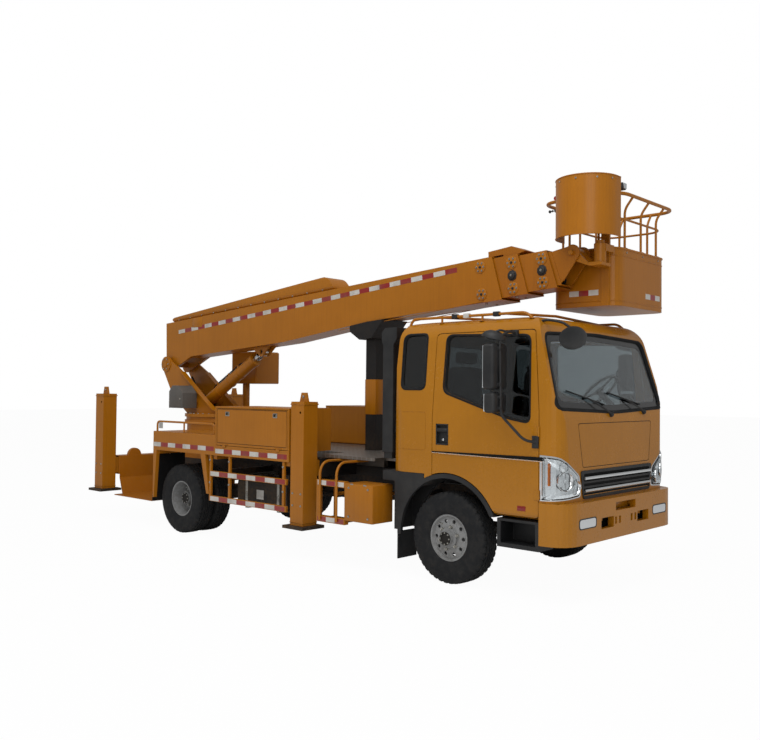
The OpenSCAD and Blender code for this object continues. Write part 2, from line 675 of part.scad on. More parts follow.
module body_sides() color("#e2a11a") {
    both_sides() {
        block([body_back, tool_x[0] - fit], [560, body_y], [body_top - 28, body_top]);
        block([body_back, tool_x[0] - fit], [body_y - side_t, body_y], [band_z[0], body_top - 27]);
        block([tool_x[0] - 1, tool_x[1]], [body_y - side_t, body_y], [band_z[0], band_z[1] - fit]);
        block([body_back, body_back + side_t], [560, body_y - side_t + 1], [band_z[0], body_top - 27]);
        side_plate([body_y - 45, body_y], [[body_back, 385], [body_back + 22, 385], [body_back + 70, band_z[0] + 1],
            [body_back, band_z[0] + 1]]);
        side_plate([body_y - 45, body_y], [[arch_front, band_z[0] + 1], [arch_front + 120, 520],
            [arch_front + 165, 520], [arch_front + 90, band_z[0] + 1]]);
        // beams that carry the sides on the frame
        for (x = [body_back + side_t, tool_x[0] - 60, tool_x[1] - 70])
            block([x, x + 60], [frame_y + fit, body_y - side_t + 1], [band_z[0] - 45, band_z[0] + 5]);
    }
}

// Checker-plate deck between the toolboxes and behind the cab
module deck() color("#9fa3a6") difference() {
    union() {
        block([tool_x[0], -1690], [-body_y + toolbox_depth + 5, body_y - toolbox_depth - 5], [deck_z - 30, deck_z]);
        block([-1691, -cab_back - 70], [-880, 880], [deck_z - 30, deck_z]);
        both_sides() block([tool_x[0] + 20, -1300], [frame_y - 70, frame_y - 10],
            [frame_top + sub_h + fit, deck_z - 29]);
    }
    block([front_leg_x - 90, front_leg_x + 90], [-90, 90], [front_box_z[1] - 50, deck_z + 1]);
    block([front_leg_x - 86, front_leg_x + 86], [-box_y - 1, box_y + 1], [front_box_z[0], front_box_z[1] + fit]);
    block([-cab_back - 260, -cab_back], [-cab_y + 60, -cab_y + 260], [deck_z - 31, deck_z + 1]);
}

// A toolbox open at its outer face, where its drop-down door shuts
tool_t = 18;
tool_hinge = [body_y + 5.5, band_z[1] + tool_t + run + 8];
module toolboxes() color("#e2a11a") both_sides() {
    difference() {
        block(tool_x, [body_y - toolbox_depth, body_y], [band_z[1], toolbox_top]);
        block([tool_x[0] + tool_t, tool_x[1] - tool_t], [body_y - toolbox_depth + tool_t, body_y + 1],
            [band_z[1] + tool_t, toolbox_top - tool_t]);
    }
    // hinge leaves
    for (x = [tool_x[0] + 170, tool_x[1] - 170]) {
        block([x - 25, x + 25], [body_y - 1, body_y + 8], [band_z[1] + 2, band_z[1] + tool_t - 2]);
        block([x - 25, x + 25], [body_y + 2, body_y + 8], [band_z[1] + tool_t - 3, tool_hinge.y - 5 - fit]);
    }
}
module toolbox_door(side) color("#e2a11a") on_side(side) {
    block([tool_x[0] + tool_t + run, tool_x[1] - tool_t - run], [body_y - 24, body_y],
        [band_z[1] + tool_t + run, toolbox_top - tool_t - run]);
    for (x = [tool_x[0] + 170, tool_x[1] - 170])
        pin_x(5, [x - 60, x + 60], tool_hinge.x, tool_hinge.y);
}

// Round-tube rails over the wheels, guard frames below the sides, and the steps to the deck
module guard_rail(x, z) block(x, [body_y - 34, body_y - 4], z);
module step_frame() {
    block([-1100, -730], [body_y - 280, body_y], [456, 810]);
    guard_rail([-1490, -1099], [760, 820]);
    guard_rail([-1490, -1099], [410, 470]);
    block([-1490, -1460], [body_y - 60, body_y - 4], [410, 820]);
    for (z = [430, 780]) block([-1480, -1100], [body_y - 230, body_y - 30], [z, z + 22]);
    for (x = [-1475, -1130]) block([x, x + 30], [frame_y + fit, body_y - 229], [640, 672]);
    for (x = [-1475, -1130]) block([x, x + 30], [body_y - 245, body_y - 225], [430, 802]);
}
hoop_x = [body_back + 15, tool_x[0] - 30];
module side_guards() color("#e2a11a") {
    both_sides() {
        for (z = [720, 445]) guard_rail([arch_front + 166, -1940], [z, z + 60]);
        for (x = [arch_front + 166, -2900, -2005]) guard_rail([x, x + 30], [445, band_z[0] - fit]);
        y = body_y - 30;
        // low rail over the wheel
        side_plate([y - 12, y + 12], [[hoop_x[0], body_top + fit], [hoop_x[0], body_top + 95],
            [hoop_x[0] + 40, body_top + 130], [hoop_x[1] - 40, body_top + 130], [hoop_x[1], body_top + 95],
            [hoop_x[1], body_top + fit], [hoop_x[1] - 24, body_top + fit], [hoop_x[1] - 24, body_top + 84],
            [hoop_x[1] - 50, body_top + 106], [-3768, body_top + 106], [-3768, body_top + fit],
            [-3788, body_top + fit], [-3788, body_top + 106], [hoop_x[0] + 50, body_top + 106],
            [hoop_x[0] + 24, body_top + 84], [hoop_x[0] + 24, body_top + fit]]);
        step_frame();
    }
    // grab hoops beside the right-hand steps
    mirror([0, 1, 0]) for (x = [-1430, -1200])
        bent_bar([[x, body_y + 6, 430], [x, body_y + 6, 920], [x, body_y - 60, 995], [x, 700, 995]], 13);
}

// The post behind the cab with the saddle that the boom lies in
saddle_gap = 8;
function belly_z(u) = pivot_z + u * sin(boom_slope) + boom_bottom * cos(boom_slope);
boom_bottom = boom_top - boom_h;
module boom_rest() color("#1c1d1f") {
    block([front_leg_x - 75, front_leg_x + 75], [-75, 75], [front_box_z[1], 2300]);
    block([front_leg_x - 130, front_leg_x + 130], [-130, 130], [front_box_z[1], deck_z - 30 - fit]);
    block([front_leg_x - 80, front_leg_x + 80], [-80, 80], [1430, 1810]);
    in_boom() side_plate([-boom_w / 2 - 40, boom_w / 2 + 40], [[3560, boom_bottom - 80 - saddle_gap],
        [3700, boom_bottom - 190], [3880, boom_bottom - 190], [4060, boom_bottom - saddle_gap],
        [3800, boom_bottom - saddle_gap], [3560, boom_bottom - saddle_gap - 15]]);
}

// ---- turntable --------------------------------------------------------------------------

// Two leaning cheeks on a round base carry the boom's foot pin and the cylinder's foot pin
cheek_line = [[slew_x + 395, 30], [slew_x + 390, 70], [slew_x + 240, 105], [slew_x + 40, 235],
    [slew_x - 470, 595], [slew_x - 790, 770], [slew_x - 945, 655], [slew_x - 690, 275], [slew_x - 330, 30]];

module turret() color("#e2a11a") {
    base_z = turret_base_z;
    difference() {
        union() {
            pin_z(ring_r - 20, [base_z - 40 + fit, base_z + 1], slew_x, 0);
            pin_z(ring_r, [base_z, base_z + 40], slew_x, 0);
        }
        pin_z(120, [base_z - 60, base_z + 60], slew_x, 0);
    }
    both_sides() {
        side_plate([cheek_y, cheek_y + cheek_t], [for (p = cheek_line) [p.x, base_z + p.y]]);
        pin_y(lug_r, [cheek_y, cheek_y + cheek_t + 12], pivot_x, pivot_z);
        pin_y(62, [cheek_y - 60, cheek_y + cheek_t + 10], cyl_foot.x, cyl_foot.y);
        // flange along the front edge
        side_plate([cheek_y - 25, cheek_y + cheek_t + 25], [[slew_x + 395, base_z + 30], [slew_x + 390, base_z + 70],
            [slew_x + 240, base_z + 105], [slew_x + 40, base_z + 235], [slew_x - 470, base_z + 595],
            [slew_x - 478, base_z + 584], [slew_x + 32, base_z + 223], [slew_x + 236, base_z + 91],
            [slew_x + 376, base_z + 58], [slew_x + 381, base_z + 30]]);
        pin_y(14, [-1, cheek_y + 1], slew_x - 560, base_z + 330);
    }
    // web between the cheeks along their back edges
    side_plate([-cheek_y - 1, cheek_y + 1], [[slew_x - 800, base_z + 440], [slew_x - 690, base_z + 275],
        [slew_x - 380, base_z + 64], [slew_x - 330, base_z + 30], [slew_x - 310, base_z + 39],
        [slew_x - 680, base_z + 285], [slew_x - 790, base_z + 447]]);
    pin_y(pin_r, [-cheek_y - cheek_t - 24, cheek_y + cheek_t + 24], pivot_x, pivot_z);
    pin_y(35, [-cheek_y, cheek_y], cyl_foot.x, cyl_foot.y);
    // arm that carries the control box
    block([slew_x + 100, slew_x + 180], [cheek_y + cheek_t - 1, console_y[0] + 140], [base_z + 41, base_z + 101]);
}

// Control box on a post at the turntable's left, and the electric cabinet on its right
console_x = [slew_x - 60, slew_x + 460];
console_y = [300, 700];
module console() color("#e2a11a") {
    base = turret_base_z + 101 + fit;
    block([slew_x + 105, slew_x + 175], [console_y[0] + 60, console_y[0] + 130], [base, 1771]);
    block(console_x, console_y, [1770, 2190]);
    // cabinet
    side_plate([-cheek_y - cheek_t - 250, -cheek_y - cheek_t - 25 - fit], [[slew_x - 400, 1440], [slew_x - 90, 1440],
        [slew_x - 90, 1640], [slew_x - 200, 1735], [slew_x - 330, 1735], [slew_x - 400, 1660]]);
}

// ---- lift cylinder ----------------------------------------------------------------------

eye_world = [pivot_x + cyl_eye.x * cos(boom_slope) - cyl_eye.y * sin(boom_slope),
    pivot_z + cyl_eye.x * sin(boom_slope) + cyl_eye.y * cos(boom_slope)];
cyl_vec = eye_world - cyl_foot;
cyl_closed = norm(cyl_vec);
cyl_angle = atan2(cyl_vec.y, cyl_vec.x);
barrel_r = 76;
rod_r = 45;
rod_eye_y = 26;
module along_cylinder() translate([cyl_foot.x, 0, cyl_foot.y]) rotate([0, -cyl_angle, 0]) children();

module lift_barrel() color("#d2901a") along_cylinder() difference() {
    union() {
        pin_x(barrel_r, [60, cyl_closed - 190], 0, 0);
        pin_x(barrel_r + 7, [cyl_closed - 240, cyl_closed - 190], 0, 0);
        pin_y(66, [-60, 60], 0, 0);
    }
    pin_x(rod_r + 0.05, [90, cyl_closed], 0, 0);
    pin_y(35.05, [-61, 61], 0, 0);
}
module lift_rod() color("#c9ccce") along_cylinder() difference() {
    union() {
        pin_x(rod_r, [120, cyl_closed - 100], 0, 0);
        pin_x(24, [cyl_closed - 101, cyl_closed - 30], 0, 0);
        pin_y(54, [-rod_eye_y, rod_eye_y], cyl_closed, 0);
    }
    pin_y(32, [-rod_eye_y - 1, rod_eye_y + 1], cyl_closed, 0);
}

// ---- boom -------------------------------------------------------------------------------

slant = 90;
nose = [0, 280, 585, 620];
tail = [150, 450, 550, 650];
boom_mid = boom_top - boom_h / 2;
function half_w(n) = (boom_w - section_step * (n - 1)) / 2;
function half_h(n) = (boom_h - section_step * (n - 1)) / 2;
function mouth(n) = boom_len + nose[n - 1];

// A box section with a slanted mouth, drawn in by d
module section_form(n, from, d) side_plate([-half_w(n) + d, half_w(n) - d], [
    [from, boom_mid - half_h(n) + d], [mouth(n), boom_mid - half_h(n) + d],
    [mouth(n) - slant, boom_mid + half_h(n) - d], [from, boom_mid + half_h(n) - d]]);

// Slide pads on all four faces: inside the mouth of section n, or outside the tail of section n
module mouth_pads(n) {
    p = boom_gap - fit;
    w = half_w(n) - boom_t;
    h = half_h(n) - boom_t;
    x = [mouth(n) - 330, mouth(n) - 130];
    for (s = [-1, 1]) {
        block(x, [-w + 40, w - 40], [boom_mid + s * (h - p / 2) - p / 2 - 0.5, boom_mid + s * (h - p / 2) + p / 2 + 0.5] +
            [s * 0.5, s * 0.5]);
        block(x, [s * (w - p / 2) - p / 2 - 0.5 + s * 0.5, s * (w - p / 2) + p / 2 + 0.5 + s * 0.5],
            [boom_mid - h + 40, boom_mid + h - 40]);
    }
}
module tail_pads(n) {
    p = boom_gap - fit;
    w = half_w(n);
    h = half_h(n);
    x = [tail[n - 1] + 20, tail[n - 1] + 200];
    block(x, [-w + 40, w - 40], [boom_mid + h - 1, boom_mid + h + p]);
    for (s = [-1, 1]) block(x, [s * (w + p / 2 - 0.5) - p / 2 - 0.5, s * (w + p / 2 - 0.5) + p / 2 + 0.5],
        [boom_mid - h + 40, boom_mid + h - 40]);
}
module inner_section(n) {
    difference() {
        section_form(n, tail[n - 1], 0);
        translate([eps, 0, 0]) section_form(n, tail[n - 1] - 10, boom_t);
        block([mouth(n) - slant, mouth(n) + 10], [-half_w(n) + boom_t, half_w(n) - boom_t],
            [boom_mid - half_h(n) + boom_t, boom_mid + half_h(n) - boom_t]);
    }
    tail_pads(n);
}

// Outer section: a deeper belly behind, two foot lugs and the cylinder's lugs below
belly = 80;
module boom_outer() color("#e2a11a") in_boom() {
    difference() {
        union() {
            side_plate([-half_w(1), half_w(1)], [[-60, boom_top], [mouth(1) - slant, boom_top],
                [mouth(1), boom_bottom], [3800, boom_bottom], [2400, boom_bottom - belly],
                [500, boom_bottom - belly], [60, -85], [-85, -60]]);
            pin_y(lug_r, [-half_w(1), half_w(1)], 0, 0);
            pin_y(70, [-cheek_y + fit, cheek_y - fit], 0, 0);
        }
        side_plate([-half_w(1) + boom_t, half_w(1) - boom_t], [[150, boom_top - boom_t], [mouth(1) + 10, boom_top - boom_t],
            [mouth(1) + 10, boom_bottom + boom_t], [3800, boom_bottom + boom_t],
            [2400, boom_bottom - belly + boom_t], [520, boom_bottom - belly + boom_t], [150, boom_bottom + 40]]);
        side_plate([-half_w(1) + 45, half_w(1) - 45], [[-200, 215], [430, 215], [470, 30], [60, -200], [-200, -200]]);
        pin_y(pin_r + 0.05, [-cheek_y, cheek_y], 0, 0);
    }
    mouth_pads(1);
    for (s = [-1, 1]) difference() {
        union() {
            side_plate([s * 46 - 11, s * 46 + 11], [[cyl_eye.x - 180, boom_bottom - belly + 1],
                [cyl_eye.x - 48, cyl_eye.y - 30], [cyl_eye.x + 48, cyl_eye.y - 30],
                [cyl_eye.x + 180, boom_bottom - belly + 1]]);
            pin_y(60, [s * 46 - 11, s * 46 + 11], cyl_eye.x, cyl_eye.y);
        }
        pin_y(28, [s * 46 - 12, s * 46 + 12], cyl_eye.x, cyl_eye.y);
    }
}

// Long rounded fairing on the outer section
cover_x = [60, 3290];
module boom_cover() color("#e2a11a") in_boom() intersection() {
    side_plate([-half_w(1), half_w(1)], eased([[cover_x[0], boom_top + fit], [cover_x[1], boom_top + fit],
        [cover_x[1] - 120, boom_top + 172], [cover_x[0], boom_top + 62]], 90));
    cross_plate([cover_x[0] - 5, cover_x[1] + 5], eased([[-half_w(1) + 14, boom_top - 1], [half_w(1) - 14, boom_top - 1],
        [half_w(1) - 24, boom_top + 200], [-half_w(1) + 24, boom_top + 200]], 70));
}

module boom_section_2() color("#e2a11a") in_boom() {
    inner_section(2);
    mouth_pads(2);
    // wedge housing over the mouths, clear of the outer section's roof
    side_plate([-half_w(2) + 30, half_w(2) - 30], [[mouth(1) - slant - 70, boom_top + 8], [mouth(1) + 12, boom_top + 8],
        [mouth(1) + 12, boom_mid + half_h(2) - 1], [mouth(2) - slant - 30, boom_mid + half_h(2) - 1],
        [mouth(2) - slant + 70, boom_mid + half_h(2) + 22], [mouth(2) - slant - 80, boom_top + 72],
        [mouth(1) - slant - 70, boom_top + 62]]);
}
module boom_section_3() color("#e2a11a") in_boom() {
    inner_section(3);
    mouth_pads(3);
}

// Last section with the fork that holds the levelling bracket
head_r = 75;
fork_t = 14;
module boom_section_4() color("#e2a11a") in_boom() {
    inner_section(4);
    for (s = [-1, 1]) difference() {
        y = s * (half_w(4) - boom_t - fork_t / 2 + 0.5);
        union() {
            side_plate([y - fork_t / 2, y + fork_t / 2], [[mouth(4) - slant - 180, boom_mid + half_h(4) - 20],
                [mouth(4) - 40, boom_mid - half_h(4) + 4], [mouth(4) + 20, boom_mid - half_h(4) + 40],
                [head_pin.x + 45, head_pin.y - 60], [head_pin.x - 40, head_pin.y + 63]]);
            pin_y(head_r, [y - fork_t / 2, y + fork_t / 2], head_pin.x, head_pin.y);
        }
        pin_y(22, [y - fork_t, y + fork_t], head_pin.x, head_pin.y);
    }
}

// ---- work platform ----------------------------------------------------------------------

head_world = [pivot_x + head_pin.x * cos(boom_slope) - head_pin.y * sin(boom_slope),
    pivot_z + head_pin.x * sin(boom_slope) + head_pin.y * cos(boom_slope)];
swing_x = head_world.x + 225;
column_r = 38;
sleeve_r = 54;
column_z = [head_world.y - 110, head_world.y + 100];

// Levelling bracket on the boom's head pin, with the upright column the basket turns on
module platform_bracket() color("#d2901a") {
    w = half_w(4) - boom_t - fork_t - 3.5;
            for (s = [-1, 1]) side_plate([s * (w - 10) - 10, s * (w - 10) + 10], [[head_world.x - 40, head_world.y + 35],
                [head_world.x - 45, head_world.y - 50], [swing_x - 60, column_z[0] - 20], [swing_x + 40, column_z[0] - 20],
                [swing_x + 40, column_z[0] + 12], [swing_x - 72, column_z[0] + 12], [head_world.x + 48, head_world.y + 5]]);
            pin_y(52, [-w, w], head_world.x, head_world.y);
            block([swing_x - 60, swing_x + 60], [-w, w], [column_z[0] - 20, column_z[0] + 8]);
            pin_z(column_r, [column_z[0], column_z[1]], swing_x, 0);
    pin_y(21.95, [-half_w(4) - 22, half_w(4) + 22], head_world.x, head_world.y);
}

// The basket's floor, its four panels, corner post, and the sleeve it swings on
panel_t = 16;
post_out = 8;
basket_back = basket_y + basket_len;
basket_top = basket_z + basket_h;
module basket() color("#e2a11a") {
    outline = [[basket_x, basket_y], [basket_x + basket_w, basket_y], [basket_x + basket_w, basket_back],
        [basket_x, basket_back]];
    inner = [[basket_x + panel_t, basket_y + panel_t], [basket_x + basket_w - panel_t, basket_y + panel_t],
        [basket_x + basket_w - panel_t, basket_back - panel_t], [basket_x + panel_t, basket_back - panel_t]];
    difference() {
        flat_plate([basket_z, basket_top], eased(outline, 150, 8));
        flat_plate([basket_z + 22, basket_top + 1], eased(inner, 138, 8));
    }
    // corner post with the lamp's mast
    block([basket_x + basket_w - 150, basket_x + basket_w - 70], [basket_y - post_out, basket_y + 18],
        [basket_z, basket_z + 955]);
    bar([basket_x + basket_w - 112, basket_y - 2, basket_z + 954], [basket_x + basket_w - 98, basket_y + 2, lamp_z], 16);
    // sleeve on the column, with its arm above the boom's head
    difference() {
        union() {
            pin_z(sleeve_r, [column_z[0] + 8 + fit, column_z[1] - 30], swing_x, 0);
            block([swing_x - 50, swing_x + 60], [0, basket_y + 2], [column_z[1] - 98, column_z[1] - 34]);
        }
        pin_z(column_r + 0.05, [column_z[0], column_z[1]], swing_x, 0);
    }
}
lamp_z = basket_z + 1100;

// A closed rail with eased corners, lying out by a distance from the basket's outline
rail_r = 15;
module rail_loop(out, z, r) {
    x = [basket_x - out, basket_x + basket_w + out];
    y = [basket_y - out, basket_back + out];
    p = eased([[x[0], y[0]], [x[1], y[0]], [x[1], y[1]], [x[0], y[1]]], 190, 3);
    for (i = [0 : len(p) - 1]) let (a = p[i], b = p[(i + 1) % len(p)])
        if (norm(b - a) > 1) bar([a.x, a.y, z], [b.x, b.y, z], r, r * 0.3);
}
// An upright from the panel's edge, which leans out to the top rail
module upright(x, y, out_x, out_y) bent_bar([[x, y, basket_top + 5.7], [x, y, basket_z + basket_rail_h - 110],
    [x + out_x, y + out_y, basket_z + basket_rail_h]], 12);
module basket_rails() color("#d2901a") {
    rail_loop(65, basket_z + basket_rail_h, rail_r + 2);
    rail_loop(-20, basket_top + 270, 11);
    for (y = [basket_y + 190, basket_y + basket_len / 2, basket_back - 190]) {
        upright(basket_x + 20, y, -85, 0);
        upright(basket_x + basket_w - 20, y, 85, 0);
    }
    for (x = [basket_x + 190, basket_x + basket_w - 190]) {
        upright(x, basket_y + 20, 0, -85);
        upright(x, basket_back - 20, 0, 85);
    }
}

// Rain cover over the platform's controls: half a drum, closed above and open below
cover_r = 285;
cover_z = [head_world.y + 120, head_world.y + 655];
module drum(r, z) {
    pin_z(r, z, swing_x - 115, -10);
    block([swing_x - 115 - r, swing_x - 115 + r], [-10, basket_y - 90], z);
}
module basket_cover() color("#e2a11a") {
    difference() {
        drum(cover_r, cover_z);
        drum(cover_r - 6, [cover_z[0] - 1, cover_z[1] - 6]);
        block([swing_x - 400, swing_x + 400], [basket_y - 90, 600], [cover_z[0] - 1, cover_z[1] + 1]);
    }
    // control box and its bracket to the basket's corner post
    block([swing_x - 285, swing_x + 55], [-150, basket_y - 100], [cover_z[0] + 120, cover_z[1] - 5]);
    block([basket_x + basket_w - 140, basket_x + basket_w - 80], [basket_y - 101, basket_y - post_out - fit],
        [cover_z[0] + 140, cover_z[0] + 240]);
}

// ---- legs -------------------------------------------------------------------------------

beam_x = box_w / 2 - box_wall - beam_gap;
jack_w = leg_w / 2 - leg_wall - jack_gap;

// A leg: its sliding beam, the upright square tube and the lug plate on its cap
module leg(x, side, z, box_z) color("#e2a11a") on_side(side) difference() {
    union() {
        block([x - beam_x, x + beam_x], [40, leg_y], [box_z[0] + box_wall + beam_gap, box_z[1] - box_wall - beam_gap]);
        block([x - leg_w / 2, x + leg_w / 2], [leg_y - leg_w / 2, leg_y + leg_w / 2], z);
        block([x - leg_w / 2 - 6, x + leg_w / 2 + 6], [leg_y - leg_w / 2 - 6, leg_y + leg_w / 2], [z[1] - 30, z[1] - 18]);
        side_plate([leg_y - 10, leg_y + 14], [[x - 60, z[1] - 1], [x + 60, z[1] - 1], [x + 34, z[1] + 92], [x - 34, z[1] + 92]]);
        // wear pads between the beam and its box
        for (u = [600, 830]) {
            block([x - beam_x - beam_gap + fit, x + beam_x + beam_gap - fit], [u, u + 40],
                [box_z[0] + box_wall + 40, box_z[1] - box_wall - 40]);
            block([x - 40, x + 40], [u, u + 40], [box_z[0] + box_wall + fit, box_z[1] - box_wall - fit]);
        }
    }
    block([x - leg_w / 2 + leg_wall, x + leg_w / 2 - leg_wall], [leg_y - leg_w / 2 + leg_wall, leg_y + leg_w / 2 - leg_wall],
        [z[0] - 1, z[1] - 40]);
    block([x - beam_x + 10, x + beam_x - 10], [39, leg_y - leg_w / 2],
        [box_z[0] + box_wall + beam_gap + 10, box_z[1] - box_wall - beam_gap - 10]);
    pin_y(14, [leg_y, leg_y + leg_w], x + 40, z[1] - 110);
}

// A jack: square inner tube and the foot plate below it
module jack(x, side, z) color("#3a3c3e") on_side(side) {
    difference() {
        block([x - jack_w, x + jack_w], [leg_y - jack_w, leg_y + jack_w], [z[0] - 2, z[0] + jack_travel + 450]);
        block([x - jack_w + 10, x + jack_w - 10], [leg_y - jack_w + 10, leg_y + jack_w - 10],
            [z[0] + 20, z[0] + jack_travel + 451]);
    }
    block([x - foot_w / 2, x + foot_w / 2], [leg_y - foot_w / 2, leg_y + foot_w / 2], [z[0] - foot_t, z[0] - fit]);
}

// ---- the assembly -----------------------------------------------------------------------

placed() chassis_frame();
placed() subframe();
placed() front_axle();
placed() rear_axle();
placed() engine();
placed() fuel_tank();
placed() cab_shell();
placed() cab_glass();
placed() grille();
placed() headlights();
placed() bumper();
placed() cab_fenders();
placed() dashboard();
placed() seats();
placed() snorkel();
placed() deck();
placed() body_sides();
placed() toolboxes();
placed() side_guards();
placed() boom_rest();
placed() knuckle(1);  // knuckle_left
placed() knuckle(-1);  // knuckle_right
placed() front_rim(1);  // front_rim_left
placed() front_rim(-1);  // front_rim_right
placed() front_tyre(1);  // front_tyre_left
placed() front_tyre(-1);  // front_tyre_right
placed() translate([rear_x, 0, 0]) rear_rims(1);  // rear_rims_left
placed() translate([rear_x, 0, 0]) rear_rims(-1);  // rear_rims_right
placed() translate([rear_x, 0, 0]) rear_tyres(1);  // rear_tyres_left
placed() translate([rear_x, 0, 0]) rear_tyres(-1);  // rear_tyres_right
placed() door(1);  // door_left
placed() door(-1);  // door_right
placed() door_glass(1);  // door_glass_left
placed() door_glass(-1);  // door_glass_right
placed() wing_mirror(1);  // mirror_left
placed() wing_mirror(-1);  // mirror_right
placed() steering_wheel();
placed() toolbox_door(1);  // toolbox_door_left
placed() toolbox_door(-1);  // toolbox_door_right
placed() turret();
placed() console();
placed() boom_outer();
placed() boom_cover();
placed() boom_section_2();
placed() boom_section_3();
placed() boom_section_4();
placed() lift_barrel();
placed() lift_rod();
placed() platform_bracket();
placed() basket();
placed() basket_rails();
placed() basket_cover();
placed() leg(front_leg_x, 1, front_leg_z, front_box_z);  // leg_front_left
placed() leg(front_leg_x, -1, front_leg_z, front_box_z);  // leg_front_right
placed() leg(rear_leg_x, 1, rear_leg_z, rear_box_z);  // leg_rear_left
placed() leg(rear_leg_x, -1, rear_leg_z, rear_box_z);  // leg_rear_right
placed() jack(front_leg_x, 1, front_leg_z);  // jack_front_left
placed() jack(front_leg_x, -1, front_leg_z);  // jack_front_right
placed() jack(rear_leg_x, 1, rear_leg_z);  // jack_rear_left
placed() jack(rear_leg_x, -1, rear_leg_z);  // jack_rear_right
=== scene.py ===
import math
import bmesh
import bpy
from mathutils import Matrix, Vector
from mathutils.bvhtree import BVHTree


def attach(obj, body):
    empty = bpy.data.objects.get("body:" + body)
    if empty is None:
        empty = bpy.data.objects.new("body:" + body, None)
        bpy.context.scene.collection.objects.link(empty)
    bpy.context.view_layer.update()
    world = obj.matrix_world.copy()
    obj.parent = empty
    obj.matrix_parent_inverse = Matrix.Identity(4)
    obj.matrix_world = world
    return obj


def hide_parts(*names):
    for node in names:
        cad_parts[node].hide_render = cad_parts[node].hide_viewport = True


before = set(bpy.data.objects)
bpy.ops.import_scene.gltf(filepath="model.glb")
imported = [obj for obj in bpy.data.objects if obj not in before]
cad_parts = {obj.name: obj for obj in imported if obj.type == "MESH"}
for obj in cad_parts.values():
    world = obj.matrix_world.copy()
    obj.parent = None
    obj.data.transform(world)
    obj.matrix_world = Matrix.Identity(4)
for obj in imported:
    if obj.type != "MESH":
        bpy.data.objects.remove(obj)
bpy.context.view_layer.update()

# ---- camera -----------------------------------------------------------------------------
# Stands at head height off the truck's front right corner, nearly seven metres from it, and
# looks level across it.
CAMERA_YAW, CAMERA_PITCH, CAMERA_ROLL = map(math.radians, (42.83, 1.45, 0.54))
ahead = Vector((-math.sin(CAMERA_YAW) * math.cos(CAMERA_PITCH),
                math.cos(CAMERA_YAW) * math.cos(CAMERA_PITCH), math.sin(CAMERA_PITCH)))
level = ahead.cross(Vector((0, 0, 1))).normalized()
across = level * math.cos(CAMERA_ROLL) + level.cross(ahead) * math.sin(CAMERA_ROLL)
camera = bpy.data.objects.new("camera", bpy.data.cameras.new("camera"))
camera.data.lens = 40.68
camera.data.clip_end = 200
CAMERA_PLACE = (6.9914, -6.9041, 1.6779)
camera.matrix_world = Matrix.Translation(CAMERA_PLACE) @ Matrix(
    (across, across.cross(ahead), -ahead)).transposed().to_4x4()
bpy.context.scene.collection.objects.link(camera)
bpy.context.scene.camera = camera

# ---- floor and light --------------------------------------------------------------------
# A pale matt studio floor, an even white surround and two broad soft lamps, so that each
# colour shows about as it is written.


def rgb(code):
    """A #rrggbb sRGB colour as linear red, green, blue, alpha."""
    parts = [int(code[i:i + 2], 16) / 255 for i in (1, 3, 5)]
    return [c / 12.92 if c <= 0.04045 else ((c + 0.055) / 1.055) ** 2.4 for c in parts] + [1]


def add(mat, kind, inputs=None, **settings):
    """One shader node with its settings; an input is a value, or the socket or node that
    feeds it. A node feeds with its first output in use."""
    node = mat.node_tree.nodes.new("ShaderNode" + kind)
    for name, value in settings.items():
        setattr(node, name, value)
    for name, value in (inputs or {}).items():
        if isinstance(value, bpy.types.Node):
            value = next(out for out in value.outputs if out.enabled)
        if isinstance(value, bpy.types.NodeSocket):
            mat.node_tree.links.new(value, node.inputs[name])
        else:
            node.inputs[name].default_value = value
    return node


def fresh(name):
    """An empty node material."""
    mat = bpy.data.materials.new(name)
    mat.use_nodes = True
    mat.node_tree.nodes.clear()
    return mat


white_floor = fresh("white_floor")
matt = add(white_floor, "BsdfDiffuse", {"Color": rgb("#f2f2f2")})
bright = add(white_floor, "Emission", {"Color": (1, 1, 1, 1), "Strength": 1.0})
seen = add(white_floor, "LightPath")
# the camera sees the floor nearly as white as the surround, so that no edge shows
share = add(white_floor, "Math", {0: seen.outputs["Is Camera Ray"], 1: 0.965}, operation="MULTIPLY")
lit = add(white_floor, "MixShader", {0: share, 1: matt, 2: bright})
add(white_floor, "OutputMaterial", {"Surface": lit})
floor_mesh = bpy.data.meshes.new("floor")
FAR = 60
floor_mesh.from_pydata([(-FAR, -FAR, 0), (FAR, -FAR, 0), (FAR, FAR, 0), (-FAR, FAR, 0)], [], [(0, 1, 2, 3)])
floor_mesh.materials.append(white_floor)
floor = bpy.data.objects.new("floor", floor_mesh)
bpy.context.scene.collection.objects.link(floor)

world = bpy.data.worlds.new("studio")
world.use_nodes = True
bpy.context.scene.world = world
world.node_tree.nodes.clear()
rays = add(world, "LightPath")
plain = add(world, "Math", {0: rays.outputs["Is Camera Ray"], 1: rays.outputs["Is Transmission Ray"]},
            operation="MAXIMUM")
dim = add(world, "Background", {"Color": (1, 1, 1, 1), "Strength": 0.42})
full = add(world, "Background", {"Color": (1, 1, 1, 1), "Strength": 1.0})
surround = add(world, "MixShader", {0: plain, 1: dim, 2: full})
add(world, "OutputWorld", {"Surface": surround})


def soft_lamp(name, place, size, power):
    """A square area lamp that faces the truck's middle."""
    lamp = bpy.data.objects.new(name, bpy.data.lights.new(name, "AREA"))
    lamp.data.size = size
    lamp.data.energy = power
    lamp.location = place
    lamp.rotation_euler = (Vector((0, 0, 1.2)) - lamp.location).to_track_quat("-Z", "Y").to_euler()
    bpy.context.scene.collection.objects.link(lamp)


soft_lamp("overhead_lamp", Vector((3.0, -5.0, 11.0)), 8.0, 640)
soft_lamp("side_lamp", Vector((10.0, -9.0, 5.0)), 6.0, 210)
bpy.context.scene.view_settings.view_transform = "Standard"

